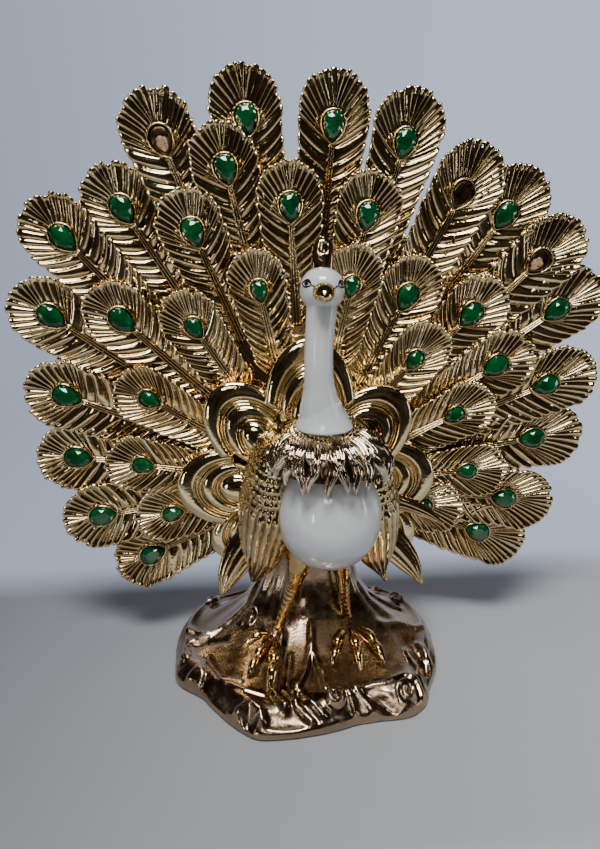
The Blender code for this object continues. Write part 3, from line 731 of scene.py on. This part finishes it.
# The leaves below the fan: bearing, reach and half width.
COVERTS = ((-138.0, 78, 10), (130.0, 88, 9.5), (140.0, 71, 7), (104.0, 82, 5))
LEGS = {
    "left": (((14, -8, 84), 10, 10), ((14, -9, 73), 8.2, 8), ((16, -8, 62), 5.2, 5), ((17, -5, 51), 3.6, 3.4),
             ((19.5, 0, 36), 2.9, 2.9), ((22, 5, 22), 3.2, 3.2), ((22, 4, 15), 3.0, 3.0)),
    "right": (((-8, -9, 84), 10, 10), ((-8, -11, 73), 8.0, 8), ((-10, -11, 62), 5.0, 5),
              ((-12, -9, 53), 3.6, 3.4), ((-16, -6, 38), 2.9, 2.9), ((-20.5, -2, 22), 3.2, 3.2),
              ((-20.5, -3, 15), 3.0, 3.0)),
}
# Each foot's ankle, and its toes' knuckles and claws.
FEET = {
    "left": ((22, 4, 19), (
        ((14, -12, 20), (8.5, -26, 12)), ((23, -14, 20), (24, -30, 12)),
        ((32, -9, 19), (39, -25, 12)), ((24, 12, 18), (27, 20, 12)))),
    "right": ((-20.5, -2, 19), (
        ((-32, -4, 19), (-42, -9, 12)), ((-30, -17, 20), (-38, -31, 12)),
        ((-23, -22, 20), (-26, -40, 12)), ((-20, 6, 18), (-19, 14, 12)))),
}
# A toe: share of the way from the ankle to the knuckle, or from there to the claw; lift; half sizes.
TOE = (
    (0.0, 0.0, 0.0, 2.8, 2.6), (0.45, 0.0, 0.8, 2.5, 2.4), (1.0, 0.0, 1.0, 3.7, 3.3), (1.0, 0.3, 1.8, 2.5, 2.5),
    (1.0, 0.55, 2.2, 3.1, 2.8), (1.0, 0.8, 1.6, 1.7, 1.8), (1.0, 1.0, 1.0, 0.5, 0.6),
)
# The mantle's outer skin from the neck down: height and middle, then height, half width and half depth.
SKIRT_MIDDLE = ((160, 2, -21), (153, 3, -17), (147, 4, -16), (140, 5, -15), (134, 6, -14), (110, 7, -14))
SKIRT = (
    (160, 8.5, 8.5), (156, 11.5, 11.0), (153, 14.5, 13.5), (147, 21.0, 20.0), (140, 27.0, 27.0),
    (134, 30.0, 31.0), (128, 30.5, 32.0), (120, 29.5, 31.0), (112, 27.5, 29.0),
)


def skirt(height, angle):
    """Point and outward direction of the mantle's skin. The angle is 0 to the front."""
    height, angle = np.broadcast_arrays(np.asarray(height, float), np.radians(angle))
    table = np.array(SKIRT[::-1], float)
    middle = np.array(SKIRT_MIDDLE[::-1], float)
    x0, y0 = (np.interp(height, middle[:, 0], middle[:, k]) for k in (1, 2))
    w, d = (np.interp(height, table[:, 0], table[:, k]) for k in (1, 2))
    w2, d2 = (np.interp(height - 2, table[:, 0], table[:, k]) for k in (1, 2))
    point = np.stack([x0 + w * np.sin(angle), y0 - d * np.cos(angle), height], -1)
    slope = (w2 + d2 - w - d) / 4
    out = unit(np.stack([np.sin(angle) * d, -np.cos(angle) * w, slope * (w + d) / 2], -1))
    return point, out


def head_surface(turn, lift):
    """A point of the head, flattened on top and full in its cheeks. The turn is 0 to the front."""
    (x0, y0, z0), (w, d, h) = HEAD
    rise, level = np.sin(lift), np.abs(np.cos(lift)) ** 0.82
    full = 1 - 0.08 * rise
    return np.stack(np.broadcast_arrays(x0 + w * full * level * np.sin(turn), y0 - d * level * np.cos(turn),
                                        z0 + h * np.sign(rise) * np.abs(rise) ** 0.92), -1)


def white_body():
    """Neck and head as one smooth skin, and the breast, with the gold rump behind it."""
    lift = np.linspace(-pi / 2 + 0.02, pi / 2 - 0.02, 40)[:, None]
    turn = around(64)[None, :]
    head = tube(head_surface(turn, lift))
    neck = fuse([loft(NECK, 60, 48), head, loft(LIP, 30, 64, upright=True)], 0.5, 8)
    make_piece("neck_and_head", [neck], GLAZE)
    make_piece("breast", [ellipsoid(*BREAST, 60, 96, 0.88)], GLAZE)
    make_piece("rump", [ellipsoid(*RUMP, 60, 96)], GOLD)


def painted_line(turns, lifts, half_width):
    """A brush line on the head, through bearings and lifts in degrees."""
    way = curve(np.stack([turns, lifts], -1), 24)
    path = head_surface(np.radians(way[:, 0]), np.radians(way[:, 1]))
    share = np.linspace(0, 1, 24)
    return strand(path, path - HEAD[0], half_width * (0.3 + 0.7 * np.sin(pi * share)), 0.28, 1, 0.5)


# The eyes: side of the head, bearing and lift in degrees.
EYES = ((-1, 54, 12), (1, 55, 10))
# The lines of an eye, about its place: bearings, lifts and half width.
EYE_LINES = (
    ((-19, -8, 6, 19), (-1, 9, 10, 1), 0.75), ((-19, -8, 6, 19), (-1, -5, -6, 1), 0.45),
    ((-7, 0, 7), (1, 3, 1), 1.3), ((-19, -26, -32), (-1, -4, -9), 0.4),
)


def crest_slot(row, turn):
    """A slot through the middle of the crest."""
    depth = 0.5 * np.exp(-(np.cos(turn) / 0.34) ** 4)
    return 1 - depth * smooth(0.42, 0.5, row) * (1 - smooth(0.70, 0.78, row))


def head_details():
    """Beak, crest, painted eyes, and nostrils as black spots of painted shade."""
    make_piece("beak", [loft(BEAK, 30, 40)], GOLD)
    make_piece("crest", [loft(CREST, 48, 72, shape=crest_slot)], GOLD)
    lines = []
    for side, middle, level in EYES:
        for turns, lifts, half_width in EYE_LINES:
            lines.append(painted_line([side * (middle + turn) for turn in turns],
                                      [level + lift for lift in lifts], half_width))
        # Painted shade: each nostril pit is a black spot.
        lines.append(ellipsoid((0.5 + side * 2.1, -39.0, 216.6), (0.8, 0.7, 0.6), 12, 16))
    make_piece("eyes_and_nostrils", lines, BLACK_PAINT_AND_SHADE)


def lock(top, low, turn, spread, swing):
    """Three strands that start side by side on the mantle and curve together to one tip."""
    shells, s = [], np.linspace(0, 1, 24)
    for k in range(3):
        way = turn + (k - 1) * spread * (1 - 0.80 * s**1.8) + swing * np.sin(1.7 * pi * s) * (0.4 + 0.6 * s)
        path, out = skirt(top + (low + 1.6 * abs(k - 1) - top) * s, way)
        proud = 0.4 + 1.0 * np.sin(pi * s) + 1.2 * s**2 + 0.6 * (k % 2) - 1.2 * (1 - s)**4
        path = path + out * proud[:, None]
        width = (0.30 + 0.90 * np.sin(pi * np.clip(0.1 + 0.9 * s, 0, 1)) ** 0.6) * (1 - 0.5 * s**5)
        shells.append(strand(path, out, width, 1.7, 1, 1.0))
    return shells


# The mantle's rows of locks: height of roots and tips, how many, the row's offset in degrees, and their swing.
LOCKS = ((144.5, 124.0, 12, 0.0, 3.6), (147.5, 132.5, 11, 6.0, 3.0))
LOCK_ARC = 152
LOCK_SPREAD = 4.0
# The skin under them: its top and foot, and its rows, of which the gold ones end where the dark ones, painted
# shade, begin.
SKIN_TOP, SKIN_FOOT = 151.5, 129.0
SKIN_ROWS = 60
GOLD_ROWS_END, SHADE_ROWS_START = 24, 21


def mantle():
    """The mantle: rough gold at the neck, a skin below painted dark as the shade between the locks, and two
    rows of locks over it.
    """
    height = np.linspace(SKIN_TOP, SKIN_FOOT, SKIN_ROWS)[:, None]
    angle = np.linspace(-180, 180, 256, endpoint=False)[None, :]
    points, out = skirt(height, angle)
    rough = np.sin(np.radians(angle) * 31 + height * 1.3) * np.sin(np.radians(angle) * 19 - height * 1.7)
    top = smooth(141, 147, height) * (0.9 * rough + 1.2)
    skin = points + out * (top - 2.2 + rng.normal(size=rough.shape) * 0.05 * top)[..., None]
    make_piece("mantle", [tube(skin[:GOLD_ROWS_END])], GOLD)
    # Painted shade: the lower skin, seen between the locks, is near-black gold.
    make_piece("mantle_shade_skin", [tube(skin[SHADE_ROWS_START:])], PAINTED_SHADE_GOLD)
    shells = []
    for top, low, count, offset, swing in LOCKS:
        for k in range(count):
            turn = (k - (count - 1) / 2) * (LOCK_ARC / count) + offset + rng.normal() * 1.2
            tip = low + rng.normal() * 1.3 + 0.05 * abs(turn)
            root = top + rng.normal() * 0.8
            curl = swing * rng.uniform(0.7, 1.3) * (1 if k % 3 else -1)
            shells += lock(root, tip, turn, LOCK_SPREAD, curl)
    make_piece("mantle_locks", shells, LOCKS_REFLECTION_GOLD)


def wing(side, shift):
    """A folded wing: small scales on its shoulder and long grooved feathers below."""
    stations = [((x * side + shift, y, z), w, d) for (x, y, z), w, d in WING]

    def relief(row, turn):
        rank = row * 30
        beside = np.abs(np.sin(14 * turn + (np.floor(rank) % 2) * pi / 2))
        scales = np.sin(pi * (rank % 1)) ** 0.5 * beside ** 0.5
        quills = np.abs(np.sin(10 * turn + side * 5 * row)) ** 0.6
        quills = quills + 0.25 * np.abs(np.sin(40 * turn + side * 20 * row))
        lower = smooth(0.34, 0.40, row)
        return 1 + (0.055 * scales * (1 - lower) + 0.12 * quills * lower) * smooth(0.0, 0.06, row) - 0.03

    name = "left_wing" if side > 0 else "right_wing"
    make_piece(name, [loft(stations, 136, 144, shape=relief)], GOLD)


def leaf_grooves(row, turn):
    """Grooves along a leaf, shallower towards its tip."""
    return 1 + 0.32 * (np.abs(np.sin(5 * turn + 0.8 * row)) ** 0.7 - 0.7) * (1 - 0.6 * row)


def covert(number, bearing, reach, half_width):
    """A pointed leaf behind the bird, below the fan."""
    stations = []
    for share, width in ((0.15, 0.6), (0.4, 1.0), (0.65, 1.0), (0.85, 0.7), (1.0, 0.15)):
        way = bearing + 8 * sin(pi * share) * (1 if bearing < 0 else -1)
        place = fan_surface(way, reach * share, 16 + 5 * share * share)
        stations.append((tuple(place), half_width * width, 4.5 * (1.1 - share * 0.7)))
    make_piece(f"lower_leaf_{number}", [loft(stations, 44, 90, shape=leaf_grooves)], GOLD)


def leg_relief(row, turn):
    """Rings round the shank, and grooves down the thigh."""
    rings = 0.09 * np.abs(np.sin(row * pi * 24)) * smooth(0.40, 0.50, row)
    grooves = 0.10 * np.abs(np.sin(8 * turn + 6 * row)) ** 0.7 * (1 - smooth(0.30, 0.48, row))
    return 1 + rings - grooves


def toe_pads(row, turn):
    """Rings round a toe, which end before its claw."""
    return 1 + 0.05 * np.abs(np.sin(row * pi * 11)) * smooth(0.9, 0.6, row) + 0 * turn


def legs():
    """Legs with ringed shanks, and toes with knuckles and claws."""
    for side, stations in LEGS.items():
        shells = [loft(stations, 190, 32, shape=leg_relief)]
        ankle, toes = FEET[side]
        for toe in toes:
            start, knuckle, claw = (np.array(place, float) for place in (ankle, *toe))
            path = [(start + near * (knuckle - start) + far * (claw - knuckle) + [0, 0, lift], width, depth)
                    for near, far, lift, width, depth in TOE]
            shells.append(loft(path, 60, 20, reference=(0, 0, 1), shape=toe_pads))
        make_piece(f"{side}_leg", shells, AMBER_GOLD)


# The trunk and the base, one flowing surface.

# The trunk: height, middle, half width and half depth.
TRUNK = (
    (15, -1, 19, 52, 36), (25, 0, 23, 41, 28), (38, 0, 26, 32, 20), (55, 1, 27, 27, 17), (75, 2, 26, 27, 19),
    (95, 2, 24, 24, 20),
)
# The base's rim seen from above: bearing in degrees and reach.
BASE_RIM = (
    (0, 74), (18, 79), (36, 82), (54, 78), (72, 68), (90, 64), (108, 68), (126, 76), (144, 84), (162, 84),
    (180, 80), (192, 80), (205, 69), (218, 68), (230, 69), (241, 70), (252, 65), (264, 61), (276, 59),
    (288, 58), (300, 62), (312, 71), (322, 73), (332, 70), (346, 73), (360, 74),
)
# From the rim to the trunk's foot: share of the way and height.
BASE_PROFILE = (
    (0.0, 1.6), (0.006, 4.0), (0.03, 5.9), (0.08, 7.4), (0.14, 9.4), (0.20, 11.6), (0.26, 12.6),
    (0.33, 12.0), (0.42, 11.6), (0.6, 12.8), (0.82, 14.4), (1.0, 16.5),
)
# The trunk's folds: bearing at the foot and at the top, half width in degrees, and rise.
FOLDS = (
    (264, 262, 10, 1.0), (240, 250, 5, 2.6), (222, 234, 10, 0.8), (203, 215, 7, 2.2), (180, 192, 11, 1.4),
    (158, 170, 8, 2.4), (133, 145, 10, 1.6), (111, 118, 7, 2.4), (86, 90, 11, 1.8), (62, 60, 8, 2.4),
    (38, 33, 10, 1.6), (15, 8, 8, 2.2), (350, 340, 9, 1.0), (330, 323, 8, 1.6), (300, 293, 10, 0.9),
)
# Soft creases of the base seen from above: rise, half width, and the places each runs through.
CREASES = (
    (2.4, 2.4, ((-34, 24), (-38, 17), (-50, 11.5), (-61, 7.5), (-72, 4))),
    (1.8, 2.2, ((-77, 19), (-66, 14), (-62, 9), (-72, 7))),
    (-1.6, 1.6, ((-73, 4), (-62, 3), (-50, -0.5))),
    (1.4, 1.3, ((-52, -30), (-42, -32))), (1.6, 1.3, ((-47, -35), (-39, -40), (-29, -43))),
    (-1.4, 2.0, ((-60, -10), (-52, -27))),
    (3.0, 1.9, ((-46, -53), (-43, -50), (-37, -49), (-32, -53), (-31, -57))),
    (-3.4, 2.8, ((-38, -55), (-38, -61))), (-1.4, 2.4, ((-60, -35), (-50, -45))),
    (1.8, 2.0, ((29, 19), (37, 24), (59, 25))), (1.2, 3.0, ((40, 2), (56, 8), (68, 6))),
    (1.8, 2.0, ((54, -14), (56, -28), (57, -40))), (1.4, 1.8, ((62, -8), (66, -20), (63, -34))),
    (-2.6, 2.4, ((61, -17), (62, -26))), (2.4, 1.6, ((39, -38), (47, -34.5), (53, -38), (55, -45))),
    (1.8, 1.5, ((19, -43), (29, -41.5), (39, -41))), (2.0, 1.7, ((18, -44), (25, -52), (31, -57))),
    (-2.8, 3.2, ((24, -45.5), (31, -48.5), (37, -53))), (2.2, 1.5, ((9, -41), (14.5, -46.5), (17, -55))),
    (2.4, 1.6, ((-13, -36), (-7, -49), (0, -56))), (2.4, 1.5, ((-19, -40), (-13, -52), (-6, -58))),
    (2.2, 1.6, ((-1, -4), (-2, -15), (-7, -30), (-14, -42))), (2.0, 1.5, ((-2, -15), (2, -33), (3, -41))),
    (3.0, 2.4, ((-18, -8), (-23, -27), (-24, -41), (-19, -51))),
    (1.8, 1.4, ((-14, -18), (-17, -36), (-13, -49))),
    (1.5, 2.6, ((20, 60), (12, 72))), (1.8, 2.4, ((-40, 62), (-55, 70))), (-1.6, 2.6, ((-10, 58), (-16, 66))),
    (1.6, 2.4, ((48, 52), (60, 60))),
)
# Curls and bulges of the base: place, radius, rise, and turns of the curl.
SWIRLS = (
    (6.4, -48.5, 6.2, 4.0, 1.3), (46, -45.5, 6.6, 3.2, 1.7), (-74.5, -6, 4.6, 2.2, 1.0),
    (-67, -23, 6.0, 2.8, 0.0), (-37.4, 8, 5.0, 2.8, 0.0), (60, 40, 6.0, 2.4, 1.4), (-62, 48, 6.5, 2.6, 1.5),
    (2, 64, 6.0, 2.2, 1.2),
)
BASE_COLUMNS = 448
PROFILE_ROWS = 88
TRUNK_ROWS = 62
# The rows where the base runs into the trunk, and how often they are smoothed.
JUNCTION = (74, 100)
JUNCTION_ROUNDS = 60


def beside(places, line):
    """Distance of places from a line, all seen from above."""
    line, nearest = np.asarray(line, float), np.full(places.shape[:-1], np.inf)
    for start, end in zip(line[:-1], line[1:]):
        way = end - start
        share = np.clip(((places - start) @ way) / (way @ way), 0, 1)
        nearest = np.minimum(nearest, np.linalg.norm(places - start - share[..., None] * way, axis=-1))
    return nearest


def crumple(points):
    """How far the creases, curls and bulges lift points of the base."""
    places, lift = points[..., :2], np.zeros(points.shape[:-1])
    for rise, width, line in CREASES:
        lift += rise * np.exp(-(beside(places, line) / width) ** 2)
    for x, y, radius, rise, turns in SWIRLS:
        away = places - [x, y]
        far = np.linalg.norm(away, axis=-1) / radius
        curl = np.cos(2 * pi * turns * far - np.arctan2(away[..., 1], away[..., 0])) if turns else 1.0
        lift += rise * (0.55 + 0.45 * curl) * (1 - smooth(0.6, 1.15, far))
    return lift


def ground_form():
    """The base and the trunk: one smooth cloth, folded and rolled at its rim."""
    turn = around(BASE_COLUMNS)
    reach = np.interp(np.degrees(turn), *zip(*BASE_RIM))
    reach = np.convolve(np.concatenate([reach[-4:], reach, reach[:4]]), np.ones(9) / 9, "valid")
    rim = np.stack([reach * np.cos(turn), reach * np.sin(turn)], axis=-1)
    foot_height, x0, y0, w, d = TRUNK[0]
    foot = np.stack([x0 + w * np.cos(turn), y0 + d * np.sin(turn)], axis=-1)
    flow = 1.2 * np.sin(5 * turn + 1) + 0.8 * np.sin(9 * turn + 2.5)

    def folds(share):
        """How far the folds stand out round the trunk, at a share of its height."""
        total = np.zeros_like(turn)
        for low, top, width, rise in FOLDS:
            apart = (turn - radians(low + (top - low) * share) + pi) % (2 * pi) - pi
            total += rise * np.exp(-np.abs(apart / radians(width)) ** 1.8)
        return total

    rows = []
    for way, height in curve(BASE_PROFILE, PROFILE_ROWS):
        way = np.clip(way, 0, 1)
        flat = (1 - way) * rim + way * foot
        lift = height + flow * smooth(3, 9, height) * (1 - 0.6 * way) + 0.8 * folds(0) * smooth(0.45, 1, way)
        rows.append(np.concatenate([flat, lift[:, None]], axis=1))
    for height, x0, y0, w, d in curve(TRUNK, TRUNK_ROWS)[2:]:
        share = (height - foot_height) / (TRUNK[-1][0] - foot_height)
        out = (folds(share) - 1.2) * smooth(0, 0.12, share)
        lift = height + (1.5 + 0.8 * folds(0) + 0.4 * flow) * (1 - smooth(0, 0.15, share))
        rows.append(np.stack([x0 + (w + out) * np.cos(turn), y0 + (d + out) * np.sin(turn), lift], axis=-1))
    grid = np.array(rows)
    low, high = JUNCTION
    for _ in range(JUNCTION_ROUNDS):
        grid[low:high] = 0.5 * grid[low:high] + 0.25 * (grid[low - 1:high - 1] + grid[low + 1:high + 1])
    height = grid[..., 2]
    grid[..., 2] += crumple(grid) * smooth(3, 7, height) * (1 - smooth(24, 42, height))
    under = [np.concatenate([rim * share, np.zeros((BASE_COLUMNS, 1))], axis=1)
             for share in (0.02, 0.5, 0.95, 0.98)]
    make_piece("trunk_and_base", [tube(np.concatenate([under, grid]))], ROSE_SHADED_GOLD)


backing()
for number, place in enumerate(PETALS, 1):
    petal(number, *place)
white_body()
head_details()
mantle()
wing(1, 2)
wing(-1, 5)
for number, place in enumerate(COVERTS, 1):
    covert(number, *place)
legs()
ground_form()


# Camera, floor, surroundings and light, in metres.

CAMERA_PLACE = (-0.03956, -0.35784, 0.27871)
CAMERA_TURN = (73.5, 0.0, -5.0)
SENSOR = 36.0
FOCAL_PIXELS = 600
PHOTO_HEIGHT = 849
FLOOR_CORNERS = [(-2, -1.5, 0), (2, -1.5, 0), (2, 3, 0), (-2, 3, 0)]
# The floor is darker on its left, as painted shade. Ramps along its depth say where a pale sheet lies on it,
# where it comes out of a painted dark before the figure, and where it glows as painted light in place of the
# wall behind.
FLOOR_WIDTH = (-0.25, 0.25)
# Painted shade: the floor's colour from its left to its right.
FLOOR_SIDE_SHADE = ((0.0, (0.26, 0.275, 0.305)), (1.0, (0.60, 0.63, 0.68)))
FLOOR_GRAIN = ((0.3, (0.92, 0.92, 0.93)), (0.7, (1.0, 1.0, 1.0)))
FLOOR_DEPTH = (-0.7, 0.3)
SHEET_RAMP = ((0.20, 0.0), (0.36, 1.0), (0.49, 1.0), (0.56, 0.0))
LIT_RAMP = ((0.20, 0.0), (0.36, 1.0))
FAR_RAMP = ((0.795, 0.0), (0.84, 1.0))
SHEET_COLOUR = (0.90, 0.90, 0.88, 1)
UNLIT_COLOUR = (0.035, 0.030, 0.026, 1)
FAR_COLOUR = (0.02, 0.02, 0.02, 1)
# Painted light: behind the figure the floor glows in these colours, brighter to the right.
GLOW_WIDTH = (-0.6, 0.6)
GLOW_COLOURS = ((0.15, (0.36, 0.405, 0.52)), (0.85, (0.55, 0.61, 0.76)))
# The surroundings, by direction: a pale wall behind the figure and a dim warm room all round the rest.
WALL_WIDTH = (-0.5, 0.5)
WALL_COLOURS = ((0.15, (0.39, 0.44, 0.57)), (0.85, (0.60, 0.67, 0.83)))
WALL_EDGE = (0.5, 0.78)
ROOM_COLOURS = ((0.42, (0.010, 0.008, 0.006)), (0.58, (0.035, 0.029, 0.023)), (0.72, (0.085, 0.072, 0.06)))
# Soft lights: name, place, the point faced, size, power and colour.
MIDDLE = (0.0, 0.0, 0.18)
LIGHTS = (
    ("ceiling", (-0.10, -0.50, 1.22), MIDDLE, (0.55, 0.32), 14.0, (1.0, 0.99, 0.96)),
    ("doorway", (-0.85, -0.95, 0.10), (0.0, -0.03, 0.2), (0.06, 0.3), 0.9, (0.97, 0.98, 1.0)),
    ("lamp", (-0.25, -1.15, 0.90), MIDDLE, (0.4, 0.2), 1.6, (1.0, 0.97, 0.90)),
    ("window", (1.3, -0.35, 0.25), MIDDLE, (0.15, 0.5), 0.9, (0.94, 0.97, 1.0)),
    ("left", (-1.3, -0.35, 0.25), MIDDLE, (0.15, 0.5), 0.5, (0.95, 0.97, 1.0)),
)


def in_scene(name, data):
    """A new object of the scene."""
    made = bpy.data.objects.new(name, data)
    bpy.context.scene.collection.objects.link(made)
    return made


def axes_node(tree, space):
    """The three outputs of a place or direction."""
    coords = tree.nodes.new("ShaderNodeTexCoord")
    split = tree.nodes.new("ShaderNodeSeparateXYZ")
    tree.links.new(coords.outputs[space], split.inputs[0])
    return split.outputs


def place_camera():
    camera = bpy.data.cameras.new("camera")
    camera.sensor_width = SENSOR
    camera.lens = SENSOR * FOCAL_PIXELS / PHOTO_HEIGHT
    view = in_scene("camera", camera)
    view.location = CAMERA_PLACE
    view.rotation_euler = [radians(angle) for angle in CAMERA_TURN]
    bpy.context.scene.camera = view


def floor_material():
    """Matt paper, painted darker to its left as shade, painted near black before the figure, and glowing behind
    it as painted light.
    """
    made, tree, shader = shader_material("floor", (0.52, 0.54, 0.56), 0.6, 0.0)
    axes = axes_node(tree, "Object")
    depth = range_node(tree, axes["Y"], *FLOOR_DEPTH)
    sheet, lit, far = (ramp_node(tree, depth, stops) for stops in (SHEET_RAMP, LIT_RAMP, FAR_RAMP))
    # Painted shade: the floor grows darker towards its left.
    side_shade = ramp_node(tree, range_node(tree, axes["X"], *FLOOR_WIDTH), FLOOR_SIDE_SHADE)
    grain = ramp_node(tree, noise_node(tree, 3.0, 3.0), FLOOR_GRAIN)
    colour = mix_node(tree, sheet, mix_node(tree, 1.0, side_shade, grain, "MULTIPLY"), SHEET_COLOUR)
    colour = mix_node(tree, far, mix_node(tree, lit, UNLIT_COLOUR, colour), FAR_COLOUR)
    tree.links.new(colour, shader.inputs["Base Color"])
    # Painted light: the floor glows where it lies behind the figure.
    glow = ramp_node(tree, range_node(tree, axes["X"], *GLOW_WIDTH), GLOW_COLOURS)
    tree.links.new(glow, shader.inputs["Emission Color"])
    tree.links.new(far, shader.inputs["Emission Strength"])
    return made


def lay_floor():
    """A flat floor, which is no part of the figure."""
    mesh = bpy.data.meshes.new("floor")
    mesh.from_pydata(FLOOR_CORNERS, [], [(0, 1, 2, 3)])
    mesh.materials.append(floor_material())
    in_scene("floor", mesh)


def surroundings():
    """The light that comes from all round, as a world."""
    world = bpy.data.worlds.new("room")
    bpy.context.scene.world = world
    world.use_nodes = True
    tree = world.node_tree
    axes = axes_node(tree, "Generated")
    wall = ramp_node(tree, range_node(tree, axes["X"], *WALL_WIDTH), WALL_COLOURS)
    dim = ramp_node(tree, noise_node(tree, 3.2, 3.0, "Generated"), ROOM_COLOURS)
    seen = mix_node(tree, range_node(tree, axes["Y"], *WALL_EDGE), dim, wall)
    tree.links.new(seen, tree.nodes["Background"].inputs["Color"])


def softbox(name, place, aim, size, power, colour):
    """A soft light at a place, turned to face a point."""
    light = bpy.data.lights.new(name, "AREA")
    light.shape, light.size, light.size_y = "RECTANGLE", size[0], size[1]
    light.energy, light.color = power, colour
    made = in_scene(name, light)
    made.location = place
    made.rotation_euler = (Vector(aim) - Vector(place)).to_track_quat("-Z", "Y").to_euler()


place_camera()
lay_floor()
for light in LIGHTS:
    softbox(*light)
surroundings()
